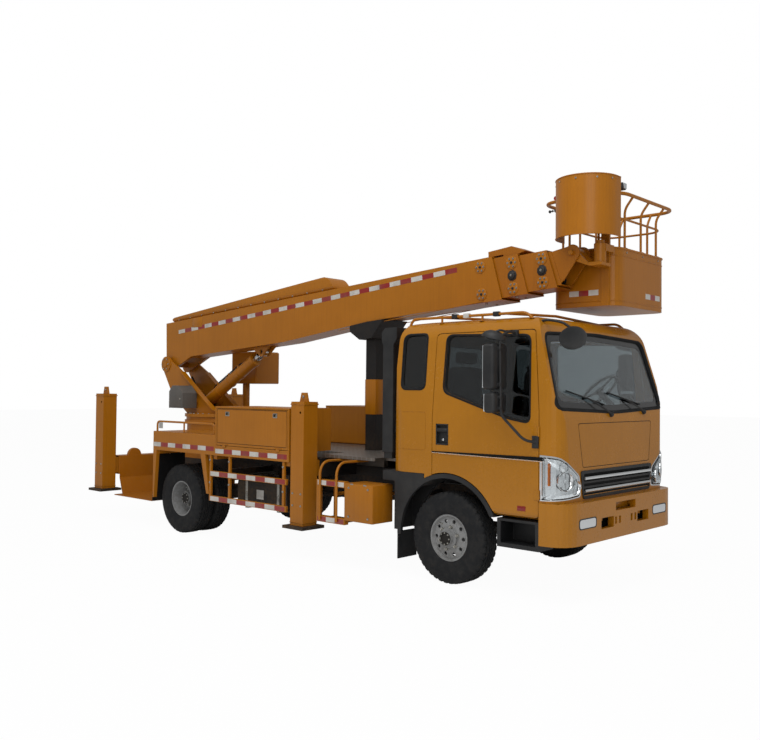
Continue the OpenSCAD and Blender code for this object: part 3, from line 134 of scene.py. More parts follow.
# ---- chassis, axles and springs ---------------------------------------------------------
# Pressed channel rails, forged axles and leaf springs in satin black chassis paint, sprayed
# over the whole underside and dusty from the road.


def surface(name):
    """An empty material and the coordinates that its patterns lie in, in metres."""
    mat = fresh(name)
    return mat, add(mat, "TexCoord").outputs["Object"]


def enamel(name, colour, dust="#84694a", rough=0.34, dirt=0.26, streaks=0.5, coat=0.08, upper=None):
    """Sprayed paint on steel: an even gloss skin with slight orange peel, road dust that
    gathers low down, faint rain streaks and softly caught edges. A second colour, where
    given, covers what lies behind x = -2.0 m or above z = 1.01 m."""
    mat, place = surface(name)
    apart = add(mat, "SeparateXYZ", {0: place})
    # dust thins out between the ground and about 1.3 m up
    low = add(mat, "MapRange", {0: apart.outputs["Z"], 1: 0.1, 2: 1.3, 3: 1.0, 4: 0.12})
    cloud = add(mat, "TexNoise", {"Vector": place, "Scale": 2.3, "Detail": 6.0, "Roughness": 0.62})
    speck = add(mat, "TexNoise", {"Vector": place, "Scale": 34.0, "Detail": 4.0, "Roughness": 0.7})
    blend = add(mat, "Math", {0: cloud, 1: speck}, operation="MULTIPLY")
    patch = add(mat, "MapRange", {0: blend, 1: 0.16, 2: 0.42, 3: 0.0, 4: dirt})
    amount = add(mat, "Math", {0: patch, 1: low}, operation="MULTIPLY")
    # rain streaks: noise drawn out down the panel, 20 mm apart
    stretch = add(mat, "Mapping", {"Vector": place, "Scale": (26.0, 26.0, 0.9)})
    streak = add(mat, "TexNoise", {"Vector": stretch, "Scale": 2.0, "Detail": 3.0})
    run = add(mat, "MapRange", {0: streak, 1: 0.42, 2: 0.75, 3: 1.0, 4: 1.0 - 0.16 * streaks})
    tone = add(mat, "MapRange", {0: cloud, 1: 0.3, 2: 0.7, 3: 0.93, 4: 1.05})
    shade = add(mat, "Math", {0: tone, 1: run}, operation="MULTIPLY")
    body = rgb(colour)[:3]
    if upper:
        aft = add(mat, "Math", {0: apart.outputs["X"], 1: -2.0}, operation="LESS_THAN")
        high = add(mat, "Math", {0: apart.outputs["Z"], 1: 1.01}, operation="GREATER_THAN")
        where = add(mat, "Math", {0: aft, 1: high}, operation="MAXIMUM")
        body = add(mat, "Mix", {0: where, 6: rgb(colour), 7: rgb(upper)}, data_type="RGBA")
    skin = add(mat, "VectorMath", {0: body, "Scale": shade}, operation="SCALE")
    look = add(mat, "Mix", {0: amount, 6: skin, 7: rgb(dust)}, data_type="RGBA")
    gloss = add(mat, "MapRange", {0: amount, 1: 0.0, 2: 0.3, 3: rough, 4: min(rough + 0.35, 0.9)})
    peel = add(mat, "TexNoise", {"Vector": place, "Scale": 60.0, "Detail": 2.0})
    bend = add(mat, "Bevel", {"Radius": 0.004}, samples=4)
    bump = add(mat, "Bump", {"Height": peel, "Normal": bend, "Strength": 0.035, "Distance": 0.004})
    paint = add(mat, "BsdfPrincipled", {"Base Color": look, "Roughness": gloss,
                                        "Normal": bump, "Coat Weight": coat,
                                        "Coat Roughness": 0.12, "Specular IOR Level": 0.28})
    add(mat, "OutputMaterial", {"Surface": paint})
    return mat


def wear(mat, *nodes):
    """Gives CAD nodes a finish in place of their plain one."""
    for name in nodes:
        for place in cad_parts[name].material_slots:
            place.material = mat


chassis_black = enamel("satin_chassis_black", "#17181a", rough=0.5, dirt=0.5, streaks=0.1, coat=0.0)
wear(enamel("two_tone_subframe_enamel", "#17181a", rough=0.42, streaks=0.2, upper="#a86409"), "subframe")
wear(chassis_black, "chassis_frame", "front_axle", "rear_axle", "fuel_tank", "boom_rest",
     "knuckle_left", "knuckle_right", "jack_front_left", "jack_front_right", "jack_rear_left",
     "jack_rear_right")


def cast_iron(name, colour):
    """Sand-cast iron, dull and grainy, with oily patches."""
    mat, place = surface(name)
    # sand grain of about 3 mm, coarser than real so that it shows
    grain = add(mat, "TexNoise", {"Vector": place, "Scale": 320.0, "Detail": 3.0})
    oil = add(mat, "TexNoise", {"Vector": place, "Scale": 5.0, "Detail": 4.0})
    tone = add(mat, "ValToRGB", {0: oil})
    tone.color_ramp.elements[0].color = rgb("#1d1c1b")
    tone.color_ramp.elements[1].color = rgb(colour)
    bump = add(mat, "Bump", {"Height": grain, "Strength": 0.4, "Distance": 0.002})
    iron = add(mat, "BsdfPrincipled", {"Base Color": tone, "Metallic": 0.6, "Roughness": 0.62,
                                       "Normal": bump})
    add(mat, "OutputMaterial", {"Surface": iron})
    return mat


wear(cast_iron("cast_iron_block", "#4b4c4d"), "engine")

# ---- body paint -------------------------------------------------------------------------
# All steelwork above the chassis is painted in one orange-yellow machinery enamel, glossier
# on the cab and a little darker and duller on the boom's sliding sections.
yellow = enamel("machinery_yellow_enamel", "#ab690a")
yellow_cab = enamel("cab_yellow_baked_enamel", "#ac6f09", rough=0.26, dirt=0.14, streaks=0.25, coat=0.2)
yellow_deep = enamel("boom_yellow_enamel", "#a36109", rough=0.36, dirt=0.3)
wear(yellow, "body_sides", "toolboxes", "toolbox_door_left", "toolbox_door_right", "turret",
     "boom_outer", "boom_cover", "leg_front_left", "leg_front_right", "leg_rear_left", "leg_rear_right",
     "lift_barrel", "platform_bracket", "basket")
wear(yellow_deep, "boom_section_2", "boom_section_3", "boom_section_4")
wear(yellow_cab, "cab_shell", "door_left", "door_right", "bumper")

# ---- wheels -----------------------------------------------------------------------------
# 7.50R16 truck tyres on silver steel rims. The tyre is moulded rubber with a four-rib tread,
# notched at the shoulders; the rims are pressed steel, held by six nuts on the hub's flange.


def rubber(name, colour, dust):
    """Moulded rubber: matt, a little grey where it has scuffed, with dust in the hollows."""
    mat, place = surface(name)
    scuff = add(mat, "TexNoise", {"Vector": place, "Scale": 14.0, "Detail": 8.0, "Roughness": 0.7})
    mask = add(mat, "MapRange", {0: scuff, 1: 0.45, 2: 0.8, 3: 0.0, 4: 0.55})
    look = add(mat, "Mix", {0: mask, 6: rgb(colour), 7: rgb(dust)}, data_type="RGBA")
    grain = add(mat, "TexNoise", {"Vector": place, "Scale": 420.0, "Detail": 2.0})
    bump = add(mat, "Bump", {"Height": grain, "Strength": 0.25, "Distance": 0.0015})
    skin = add(mat, "BsdfPrincipled", {"Base Color": look, "Roughness": 0.78,
                                       "Normal": bump, "Specular IOR Level": 0.3})
    add(mat, "OutputMaterial", {"Surface": skin})
    return mat


def done(bm, name, mats, body, replaced=(), smooth=32):
    """Turns the mesh into a piece that rides on a body."""
    bmesh.ops.recalc_face_normals(bm, faces=bm.faces)
    mesh = bpy.data.meshes.new(name)
    bm.to_mesh(mesh)
    bm.free()
    for mat in mats if isinstance(mats, (list, tuple)) else [mats]:
        mesh.materials.append(mat)
    mesh.shade_smooth()
    mesh.set_sharp_from_angle(angle=math.radians(smooth))
    piece = bpy.data.objects.new(name, mesh)
    bpy.context.scene.collection.objects.link(piece)
    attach(piece, body)
    if replaced:
        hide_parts(*replaced)
    return piece


tyre_rubber = rubber("tyre_rubber", "#17181a", "#3d3a36")
TYRE_R, BEAD_R = 0.4025, 0.2053
TREAD_STEPS = 168  # a multiple of the four steps after which the tread repeats


def tyre_profile():
    """(radius, across, is it a notched shoulder) from bead to bead."""
    side = [(BEAD_R, 0.0815), (BEAD_R + 0.006, 0.090), (BEAD_R + 0.018, 0.0955), (BEAD_R + 0.024, 0.1000),
            (BEAD_R + 0.045, 0.1035), (BEAD_R + 0.075, 0.1068), (BEAD_R + 0.095, 0.1074),
            (BEAD_R + 0.103, 0.1060), (BEAD_R + 0.112, 0.1073), (BEAD_R + 0.130, 0.1060),
            (TYRE_R - 0.044, 0.1030), (TYRE_R - 0.040, 0.1010), (TYRE_R - 0.022, 0.0985)]
    crown = [(TYRE_R - 0.012, 0.0925, 1), (TYRE_R - 0.004, 0.0840, 1), (TYRE_R - 0.002, 0.0700, 1),
             (TYRE_R - 0.011, 0.0690, 0), (TYRE_R - 0.011, 0.0600, 0), (TYRE_R - 0.001, 0.0590, 2),
             (TYRE_R - 0.0005, 0.0300, 2), (TYRE_R - 0.011, 0.0290, 0), (TYRE_R - 0.011, 0.0200, 0),
             (TYRE_R, 0.0190, 3), (TYRE_R, 0.0045, 3), (TYRE_R - 0.009, 0.0040, 0)]
    half = [(r, h, 0) for r, h in side] + crown
    return half + [(r, -h, kind) for r, h, kind in reversed(half)]


def tyre(bm, centre_y, x):
    """One tyre, standing on the ground at x, centred on centre_y."""
    outline = tyre_profile()
    rings = []
    for k in range(TREAD_STEPS):
        angle = 2 * math.pi * k / TREAD_STEPS
        ring = []
        for radius, across, kind in outline:
            # the notches repeat every four steps, and the inner ribs have narrow sipes
            turn, depth = ((9, 0.0), (0, 0.010), (2, 0.004), (1, 0.003))[kind]
            r = radius - (depth if k % 4 == turn else 0.0)
            ring.append(bm.verts.new((x + r * math.sin(angle), centre_y + across,
                                      TYRE_R + r * math.cos(angle))))
        rings.append(ring)
    for k in range(TREAD_STEPS):
        one, two = rings[k], rings[(k + 1) % TREAD_STEPS]
        for j in range(len(outline) - 1):
            bm.faces.new((one[j], two[j], two[j + 1], one[j + 1]))
        bm.faces.new((one[0], one[-1], two[-1], two[0]))


SIDES = (("left", 1), ("right", -1))
FRONT_X, REAR_X, AXLE_Z = 2.3, -1.6, TYRE_R
FRONT_Y, REAR_Y, TWIN = 0.856, 0.964, 0.24
for side, s in SIDES:
    bm = bmesh.new()
    tyre(bm, s * FRONT_Y, FRONT_X)
    done(bm, f"tyre_front_{side}", tyre_rubber, f"front_wheel_{side}",
         [f"front_tyre_{side}"], 40)
    bm = bmesh.new()
    tyre(bm, s * REAR_Y, REAR_X)
    tyre(bm, s * (REAR_Y - TWIN), REAR_X)
    done(bm, f"tyres_rear_{side}", tyre_rubber, f"rear_wheel_{side}",
         [f"rear_tyres_{side}"], 40)

rim_silver = enamel("rim_silver_lacquer", "#8f9090", dust="#57504a", rough=0.38, dirt=0.75, streaks=0.2,
                    coat=0.2)
wear(rim_silver, "front_rim_left", "front_rim_right", "rear_rims_left", "rear_rims_right")


def bare_metal(name, colour, rough, brushed=0.0):
    """Bare or plated steel: bright, with fine wiping marks."""
    mat, place = surface(name)
    smear = add(mat, "TexNoise", {"Vector": place, "Scale": 9.0, "Detail": 5.0, "Roughness": 0.65})
    gloss = add(mat, "MapRange", {0: smear, 1: 0.3, 2: 0.7, 3: rough * 0.8, 4: rough * 1.35})
    drawn = add(mat, "Mapping", {"Vector": place, "Scale": (900.0, 30.0, 900.0)})
    lines = add(mat, "TexNoise", {"Vector": drawn, "Scale": 1.0})
    bump = add(mat, "Bump", {"Height": lines, "Strength": 0.05 + brushed, "Distance": 0.0006})
    metal = add(mat, "BsdfPrincipled", {"Base Color": rgb(colour), "Metallic": 1.0,
                                        "Roughness": gloss, "Normal": bump})
    add(mat, "OutputMaterial", {"Surface": metal})
    return mat


zinc = bare_metal("zinc_plated_steel", "#a9a7a0", 0.36, 0.1)
chrome = bare_metal("bright_chrome", "#d9dcdd", 0.08)
dark_steel = bare_metal("blackened_steel", "#3a3836", 0.5)


def bend_at(a, b, c, reach, share, steps):
    """Points on the curve that eases the corner b between a and c."""
    start = b + (a - b).normalized() * min(reach, (a - b).length * share)
    end = b + (c - b).normalized() * min(reach, (c - b).length * share)
    return [start * (1 - t) ** 2 + b * 2 * t * (1 - t) + end * t * t
            for t in [k / steps for k in range(steps + 1)]]


def rounded(points, bend):
    """A path whose corners are turned into curves."""
    points = [Vector(p) for p in points]
    path = [points[0]]
    for a, b, c in zip(points, points[1:], points[2:]):
        path += bend_at(a, b, c, bend, 0.49, 6)
    return path + [points[-1]]


def tube(bm, points, radius, bend=0.0, sides=12, mat=0, closed=False, flat=1.0):
    """A round bar or pipe along a path, with closed ends, or a ring where closed is set."""
    path = rounded(points, bend) if bend else [Vector(p) for p in points]
    n = len(path)
    rings, side = [], None
    for i, point in enumerate(path):
        before = path[i - 1] if i or closed else point
        after = path[(i + 1) % n] if i < n - 1 or closed else point
        along = (after - before).normalized()
        if side is None:
            side = along.orthogonal().normalized()
        side = (side - along * side.dot(along)).normalized()
        up = along.cross(side)
        rings.append([bm.verts.new(point + radius * (side * math.cos(a) + up * math.sin(a) * flat))
                      for a in (2 * math.pi * k / sides for k in range(sides))])
    faces = []
    for i in range(n if closed else n - 1):
        one, two = rings[i], rings[(i + 1) % n]
        faces += [bm.faces.new((one[k], one[(k + 1) % sides], two[(k + 1) % sides], two[k]))
                  for k in range(sides)]
    if not closed:
        faces += [bm.faces.new(rings[0][::-1]), bm.faces.new(rings[-1])]
    for face in faces:
        face.material_index = mat


def turned(bm, profile, centre, axis, steps=32, mat=0):
    """A turned form about an axis through centre; the profile is (radius, distance) pairs."""
    turn = Vector(axis).to_track_quat("Z", "Y").to_matrix()
    rings = []
    for radius, height in profile:
        if radius < 1e-6:
            rings.append([bm.verts.new(Vector(centre) + turn @ Vector((0, 0, height)))])
        else:
            rings.append([bm.verts.new(Vector(centre) + turn @ Vector(
                (radius * math.cos(2 * math.pi * k / steps), radius * math.sin(2 * math.pi * k / steps),
                 height))) for k in range(steps)])
    for one, two in zip(rings, rings[1:]):
        for k in range(steps):
            j = (k + 1) % steps
            corner = [one[k % len(one)], one[j % len(one)], two[j % len(two)], two[k % len(two)]]
            corner = list(dict.fromkeys(corner))
            if len(corner) > 2:
                bm.faces.new(corner).material_index = mat
    return [v for ring in rings for v in ring]


def bolt(bm, centre, axis, size=0.012, mat=0):
    """A hexagon bolt head on its washer."""
    turned(bm, [(size * r, size * h) for r, h in ((0, 0), (1.25, 0), (1.25, 0.18), (1, 0.22))],
           centre, axis, 12, mat)
    turned(bm, [(size * r, size * h) for r, h in ((0.98, 0.2), (0.98, 0.8), (0.86, 0.95), (0, 0.95))],
           centre, axis, 6, mat)


def circle(centre, radius, count, start=0.0):
    """Points round a centre, in the upright plane along the truck."""
    return [Vector(centre) + radius * Vector((math.cos(a), 0, math.sin(a)))
            for a in (start + 2 * math.pi * k / count for k in range(count))]


for side, s in SIDES:
    out = Vector((0, s, 0))
    for wheel, x, face_y, ring_r, cap_y, cap_r in (
            ("front", FRONT_X, FRONT_Y + 0.072, 0.0985, FRONT_Y + 0.1321, 0.060),
            ("rear", REAR_X, REAR_Y - TWIN / 2 + 0.0665, 0.090, REAR_Y - TWIN / 2 + 0.1501, 0.066)):
        bm = bmesh.new()
        for spot in circle((x, s * face_y, AXLE_Z), ring_r, 6, 0.3):
            turned(bm, [(0, 0), (0.017, 0), (0.017, 0.003), (0.0155, 0.004), (0.0155, 0.020),
                        (0.013, 0.023), (0, 0.023)], spot, out, 6)
            turned(bm, [(0.0085, 0.020), (0.0085, 0.031), (0.007, 0.033), (0, 0.033)], spot, out, 12)
        # grease cap with its rolled edge and eight screws
        spot = Vector((x, s * cap_y, AXLE_Z))
        turned(bm, [(0, 0.0), (cap_r, 0.0), (cap_r, 0.004), (cap_r - 0.006, 0.007), (cap_r * 0.62, 0.008),
                    (cap_r * 0.58, 0.003), (0, 0.003)], spot, out, 36, 1)
        for at in circle(spot + out * 0.006, cap_r * 0.82, 8):
            bolt(bm, at, out, 0.0065)
        # valve
        stem = Vector((math.cos(2.2), 0, math.sin(2.2)))
        base = Vector((x, s * (face_y - 0.006), AXLE_Z)) + 0.135 * stem
        tube(bm, [base, base + 0.018 * stem + 0.016 * out, base + 0.024 * stem + 0.034 * out], 0.0045,
             0.01, 8)
        done(bm, f"wheel_nuts_{wheel}_{side}", [zinc, dark_steel], f"{wheel}_wheel_{side}")

# ---- cab glass and rubber seals ---------------------------------------------------------
# Bonded windscreen with a black printed edge; tempered side panes in black rubber. The door
# panes and the rear side panes are tinted.


def window_glass(name, colour, front_colour):
    """Float glass with a body tint, paler ahead of the doors; a film of dust dulls it a little."""
    mat, place = surface(name)
    apart = add(mat, "SeparateXYZ", {0: place})
    ahead_of = add(mat, "Math", {0: apart.outputs["X"], 1: 2.6}, operation="GREATER_THAN")
    tint = add(mat, "Mix", {0: ahead_of, 6: rgb(colour), 7: rgb(front_colour)}, data_type="RGBA")
    grime = add(mat, "TexNoise", {"Vector": place, "Scale": 3.0, "Detail": 6.0, "Roughness": 0.6})
    haze = add(mat, "MapRange", {0: grime, 1: 0.35, 2: 0.8, 3: 0.01, 4: 0.09})
    glass = add(mat, "BsdfPrincipled", {"Base Color": tint, "Roughness": haze,
                                        "Transmission Weight": 1.0, "IOR": 1.5})
    add(mat, "OutputMaterial", {"Surface": glass})
    return mat


cab_panes = window_glass("cab_pane_glass", "#5a6163", "#b4bec2")
door_panes = window_glass("door_pane_glass", "#6a7274", "#6a7274")
wear(cab_panes, "cab_glass")
wear(door_panes, "door_glass_left", "door_glass_right")
seal_rubber = rubber("window_seal_rubber", "#101112", "#2c2b2a")


def skin_of(*nodes):
    """A surface that rays can be cast at, from the faces of CAD nodes."""
    points, faces = [], []
    for name in nodes:
        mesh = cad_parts[name].data
        faces += [[len(points) + i for i in p.vertices] for p in mesh.polygons]
        points += [v.co.copy() for v in mesh.vertices]
    return BVHTree.FromPolygons(points, faces)


def eased(points, radius, steps=5):
    """A closed outline with its corners eased."""
    points = [Vector(p) for p in points]
    return [p for i, b in enumerate(points)
            for p in bend_at(points[i - 1], b, points[(i + 1) % len(points)], radius, 0.45, steps)]


def even(path, step):
    """A closed outline with points no further apart than step."""
    out = []
    path = [Vector(p) for p in path]
    for a, b in zip(path, path[1:] + path[:1]):
        n = max(1, math.ceil((b - a).length / step))
        out += [a.lerp(b, k / n) for k in range(n)]
    return out


def door_pane(g):
    """The outline of a door's pane, g inside its rim; the other panes work the same way."""
    return eased([(2.25 + g, 1.69 + g), (2.26 + g, 2.18 - g), (3.115 - g, 2.15 - g), (3.15 - g, 1.44 + g),
                  (2.94, 1.475 + g)], 0.07)


def rear_pane(g):
    return eased([(1.755 + g, 1.71 + g), (2.025 - g, 1.71 + g), (2.025 - g, 2.20 - g), (1.755 + g, 2.20 - g)],
                 0.07)


def screen_pane(g):
    return eased([(-0.925 + g, 1.56 + g), (0, 1.525 + g), (0.925 - g, 1.56 + g), (0.855 - g, 2.165 - g),
                  (0, 2.195 - g), (-0.855 + g, 2.165 - g)], 0.08)


def back_pane(g):
    return eased([(-0.56 + g, 1.65 + g), (0.56 - g, 1.65 + g), (0.56 - g, 2.13 - g), (-0.56 + g, 2.13 - g)],
                 0.07)


def edge_on(skin, outline, gap, axis, step=0.03):
    """The outline's points laid on a skin seen along an axis, lifted by gap. A ray that
    slips through the slit round a pane is tried again a few millimetres away."""
    tries = [(0, 0)] + [(r * math.cos(k), r * math.sin(k))
                        for r in (0.004, 0.01, 0.02, 0.04) for k in range(7)]
    path = []
    for a, b in even(outline, step):
        for da, db in tries:
            start, way = {"x": ((5, a + da, b + db), (-1, 0, 0)), "-x": ((-1, a + da, b + db), (1, 0, 0)),
                          1: ((a + da, 3, b + db), (0, -1, 0)), -1: ((a + da, -3, b + db), (0, 1, 0))}[axis]
            hit = skin.ray_cast(Vector(start), Vector(way))[0]
            if hit:
                break
        lifted = hit - Vector(way) * gap
        path.append(Vector((lifted.x, a, b)) if axis in ("x", "-x") else Vector((a, lifted.y, b)))
    return path


def point_on(skin, a, b, gap, axis):
    """One point laid on a skin."""
    return edge_on(skin, [(a, b)], gap, axis)[0]


def strip(bm, *rows):
    """Closed ribbons from each outline to the next, which all have as many points."""
    for outer, inner in zip(rows, rows[1:]):
        one, two = [[bm.verts.new(p) for p in row] for row in (outer, inner)]
        n = len(one)
        for i in range(n):
            bm.faces.new((one[i], one[(i + 1) % n], two[(i + 1) % n], two[i]))
    return two


cab_skin = skin_of("cab_shell", "cab_glass")


def resampled(outline, count):
    """A closed outline with exactly count points, evenly spaced."""
    outline = [Vector(p) for p in outline]
    loop = outline + outline[:1]
    lengths = [0]
    for a, b in zip(loop, loop[1:]):
        lengths.append(lengths[-1] + (b - a).length)
    path, j = [], 0
    for k in range(count):
        want = lengths[-1] * k / count
        while lengths[j + 1] < want:
            j += 1
        share = (want - lengths[j]) / max(lengths[j + 1] - lengths[j], 1e-9)
        path.append(loop[j].lerp(loop[j + 1], share))
    return path


def laid(skin, outline, gap, axis, count=120):
    """A resampled outline laid on a skin."""
    return edge_on(skin, resampled(outline, count), gap, axis, step=10)


def lip(bm, skin, outline, axis, width=0.016, count=120):
    """A rubber seal in three facets round a pane, from the sheet metal to the glass."""
    strip(bm, *[laid(skin, outline(g), lift, axis, count) for g, lift in (
        (-width, 0.0005), (-width * 0.75, 0.005), (-0.003, 0.006), (0.008, 0.001))])


bm = bmesh.new()
lip(bm, cab_skin, screen_pane, "x", 0.02, count=200)
lip(bm, cab_skin, back_pane, "-x")
for s in (-1, 1):
    lip(bm, cab_skin, rear_pane, s)
done(bm, "cab_seals", seal_rubber, "truck")
print_black = enamel("ceramic_print_black", "#0c0d0e", rough=0.25, dirt=0.05, streaks=0.0, coat=0.6)
bm = bmesh.new()
strip(bm, *[laid(cab_skin, screen_pane(g), 0.0008, "x", 200) for g in (0.006, 0.03, 0.055)])
done(bm, "windscreen_border", print_black, "truck")
for side, s in SIDES:
    skin = skin_of(f"door_{side}", f"door_glass_{side}")
    bm = bmesh.new()
    lip(bm, skin, door_pane, s)
    done(bm, f"door_seal_{side}", seal_rubber, f"door_{side}")

# ---- cab plastics, handles and mirrors --------------------------------------------------
# Grained black polypropylene mouldings: arches, steps, grille, intake and mirror housings.
# The mirrors stand on a bent steel tube in the same black.


def moulded(name, colour):
    """Moulded plastic with a fine leather grain, greyer where the sun has bleached it."""
    mat, place = surface(name)
    # grain cells of 3 mm, coarser than real so that they show
    cells = add(mat, "TexVoronoi", {"Vector": place, "Scale": 330.0}, feature="SMOOTH_F1")
    cloud = add(mat, "TexNoise", {"Vector": place, "Scale": 4.0, "Detail": 6.0, "Roughness": 0.6})
    mask = add(mat, "MapRange", {0: cloud, 1: 0.4, 2: 0.8, 3: 0.0, 4: 0.3})
    look = add(mat, "Mix", {0: mask, 6: rgb(colour), 7: rgb("#4a4845")}, data_type="RGBA")
    edge = add(mat, "Bevel", {"Radius": 0.006}, samples=4)
    bump = add(mat, "Bump", {"Height": cells, "Normal": edge, "Strength": 0.18, "Distance": 0.001})
    skin = add(mat, "BsdfPrincipled", {"Base Color": look, "Roughness": 0.55, "Normal": bump, "IOR": 1.49})
    add(mat, "OutputMaterial", {"Surface": skin})
    return mat


black_moulding = moulded("black_polypropylene", "#131416")
grey_moulding = moulded("grey_abs_dashboard", "#3b3d40")
wear(black_moulding, "cab_fenders", "grille", "snorkel")
wear(grey_moulding, "dashboard", "steering_wheel")
wear(bare_metal("ground_hard_chrome_rod", "#c4c6c7", 0.14), "lift_rod")
mirror_glass = bare_metal("mirror_silvering", "#e4e8ea", 0.03)


def brick(bm, lo, hi, edge=0.003, mat=0, steps=2):
    """A box with eased edges between two opposite corners, in any order."""
    lo, hi = [Vector([pick(a, b) for a, b in zip(lo, hi)]) for pick in (min, max)]
    made = bmesh.ops.create_cube(bm, size=1)["verts"]
    for v in made:
        v.co = Vector([lo[i] + (v.co[i] + 0.5) * (hi[i] - lo[i]) for i in range(3)])
    cut = bmesh.ops.bevel(bm, geom=list({e for v in made for e in v.link_edges}), offset=edge, segments=steps,
                          profile=0.5, affect="EDGES", clamp_overlap=True)
    for face in {f for part in cut["faces"] for v in part.verts for f in v.link_faces}:
        face.material_index = mat


def sided(s, *points):
    """Points given for the left side, carried to side s."""
    return [(x, s * y, z) for x, y, z in points]


for side, s in SIDES:
    bm = bmesh.new()
    tube(bm, sided(s, (3.215, 0.989, 1.285), (3.16, 1.07, 1.30), (3.005, 1.17, 1.50), (2.99, 1.17, 2.13),
                   (2.99, 1.04, 2.186), (2.99, 0.93, 2.172)), 0.0115, 0.05)
    # feet on the door's lower corner and on the roof's edge
    brick(bm, *sided(s, (3.185, 0.981, 1.235), (3.245, 0.997, 1.335)), 0.006, steps=3)
    brick(bm, *sided(s, (2.965, 0.925, 2.15), (3.015, 0.955, 2.20)), 0.006, steps=3)
    for lo, hi, rim in (((2.875, 1.045, 1.705), (2.985, 1.258, 2.075), 0.014),
                        ((2.885, 1.06, 1.515), (2.99, 1.252, 1.68), 0.012)):
        brick(bm, *sided(s, lo, hi), 0.028, steps=5)
        brick(bm, *sided(s, (lo[0] - 0.002, lo[1] + rim, lo[2] + rim),
                         (lo[0] + 0.01, hi[1] - rim, hi[2] - rim)), 0.002, 1)
        # bands that hold the housing on its tube
        for z in (lo[2] + 0.04, hi[2] - 0.04):
            brick(bm, *sided(s, (hi[0] - 0.012, 1.15, z - 0.012), (hi[0] + 0.022, 1.19, z + 0.012)))
    # kerb mirror: a shallow dish that looks down, on a stub over the door
    turned(bm, [(0.0, 0.062), (0.04, 0.060), (0.076, 0.045), (0.097, 0.022), (0.102, 0.0), (0.094, -0.004),
                (0.0, -0.002)], (2.91, s * 1.14, 2.125), (0.25, 0, 1), 28)
    tube(bm, sided(s, (2.94, 1.165, 2.17), (2.97, 1.14, 2.19), (2.99, 1.08, 2.178)), 0.009, 0.03, 10)
    done(bm, f"wing_mirrors_{side}", [black_moulding, mirror_glass], f"door_{side}",
         [f"mirror_{side}"])
    # black liner and pull of the door's grip, and the lock
    bm = bmesh.new()
    x0, x1, z0, z1 = 2.181, 2.319, 1.216, 1.399
    for lo, hi in (((x0, 0.958, z0), (x1, 0.961, z1)), ((x0, 0.96, z0), (x1, 0.983, z0 + 0.012)),
                   ((x0, 0.96, z1 - 0.012), (x1, 0.983, z1)), ((x0, 0.96, z0), (x0 + 0.012, 0.983, z1)),
                   ((x1 - 0.012, 0.96, z0), (x1, 0.983, z1))):
        brick(bm, *sided(s, lo, hi))
    tube(bm, sided(s, (x0 + 0.02, 0.962, 1.346), (x0 + 0.03, 0.982, 1.346), (x1 - 0.03, 0.982, 1.346),
                   (x1 - 0.02, 0.962, 1.346)), 0.0185, 0.02, 14)
    turned(bm, [(0, 0), (0.012, 0), (0.012, 0.004), (0.009, 0.006), (0, 0.006)], (2.25, s * 0.962, 1.26),
           (0, s, 0), 20, 1)
    done(bm, f"door_grip_{side}", [black_moulding, chrome], f"door_{side}")

# front-view mirror over the windscreen's near corner, on its own bent tube
bm = bmesh.new()
tube(bm, [(3.10, -0.80, 2.265), (3.20, -0.80, 2.285), (3.33, -0.76, 2.26), (3.40, -0.74, 2.20)], 0.011,
     0.05)
brick(bm, (3.07, -0.84, 2.235), (3.14, -0.76, 2.275), 0.008, steps=3)
dish = (Matrix.Translation((3.40, -0.72, 2.13)) @ Matrix.Rotation(math.radians(14), 4, "Y")
        @ Matrix.Diagonal((0.9, 2.2, 0.98, 1)))
made = turned(bm, [(0.0, 0.032), (0.05, 0.030), (0.085, 0.018), (0.1, 0.0), (0.096, -0.006), (0.0, -0.008)],
              (0, 0, 0), (1, 0, 0), 36)
made += turned(bm, [(0.0, -0.0095), (0.09, -0.008), (0.088, -0.006)], (0, 0, 0), (1, 0, 0), 36, 1)
bmesh.ops.transform(bm, matrix=dish, verts=made)
done(bm, "front_view_mirror", [black_moulding, mirror_glass], "truck")


def on_screen(y, z, gap):
    """A point just off the windscreen."""
    return point_on(cab_skin, y, z, gap, "x")


# wipers: pressed arms from two spindles below the screen, with rubber blades on the glass
bm = bmesh.new()
for foot, joint, ends in (((-0.10, 1.50), (-0.42, 1.635), ((-0.74, 1.70), (-0.16, 1.585))),
                          ((0.52, 1.515), (0.24, 1.63), ((-0.06, 1.69), (0.50, 1.585)))):
    base = on_screen(*foot, 0.008)
    turned(bm, [(0, -0.012), (0.022, -0.012), (0.02, 0.012), (0.012, 0.02), (0, 0.021)], base,
           (1, 0, 0.25), 20)
    elbow = base.lerp(on_screen(*joint, 0.03), 0.35) + Vector((0.018, 0, 0))
    tube(bm, [base + Vector((0.01, 0, 0)), elbow, on_screen(*joint, 0.022)], 0.008, 0.05, 8, flat=0.6)
    blade = [on_screen(*Vector(ends[0]).lerp(Vector(ends[1]), k / 12), 0.011) for k in range(13)]
    tube(bm, blade, 0.0065, sides=8, mat=1)
    tube(bm, [p + Vector((0.009, 0, 0)) for p in blade[2:11]], 0.005, sides=8)
done(bm, "wipers", [black_moulding, seal_rubber], "truck")


def lid(g):
    """The outline of the cab's front lid, g inside its rim."""
    return eased([(g - 0.60, 1.07 + g), (0.60 - g, 1.07 + g), (0.66 - g, 1.435 - g),
                  (g - 0.66, 1.435 - g)], 0.02)


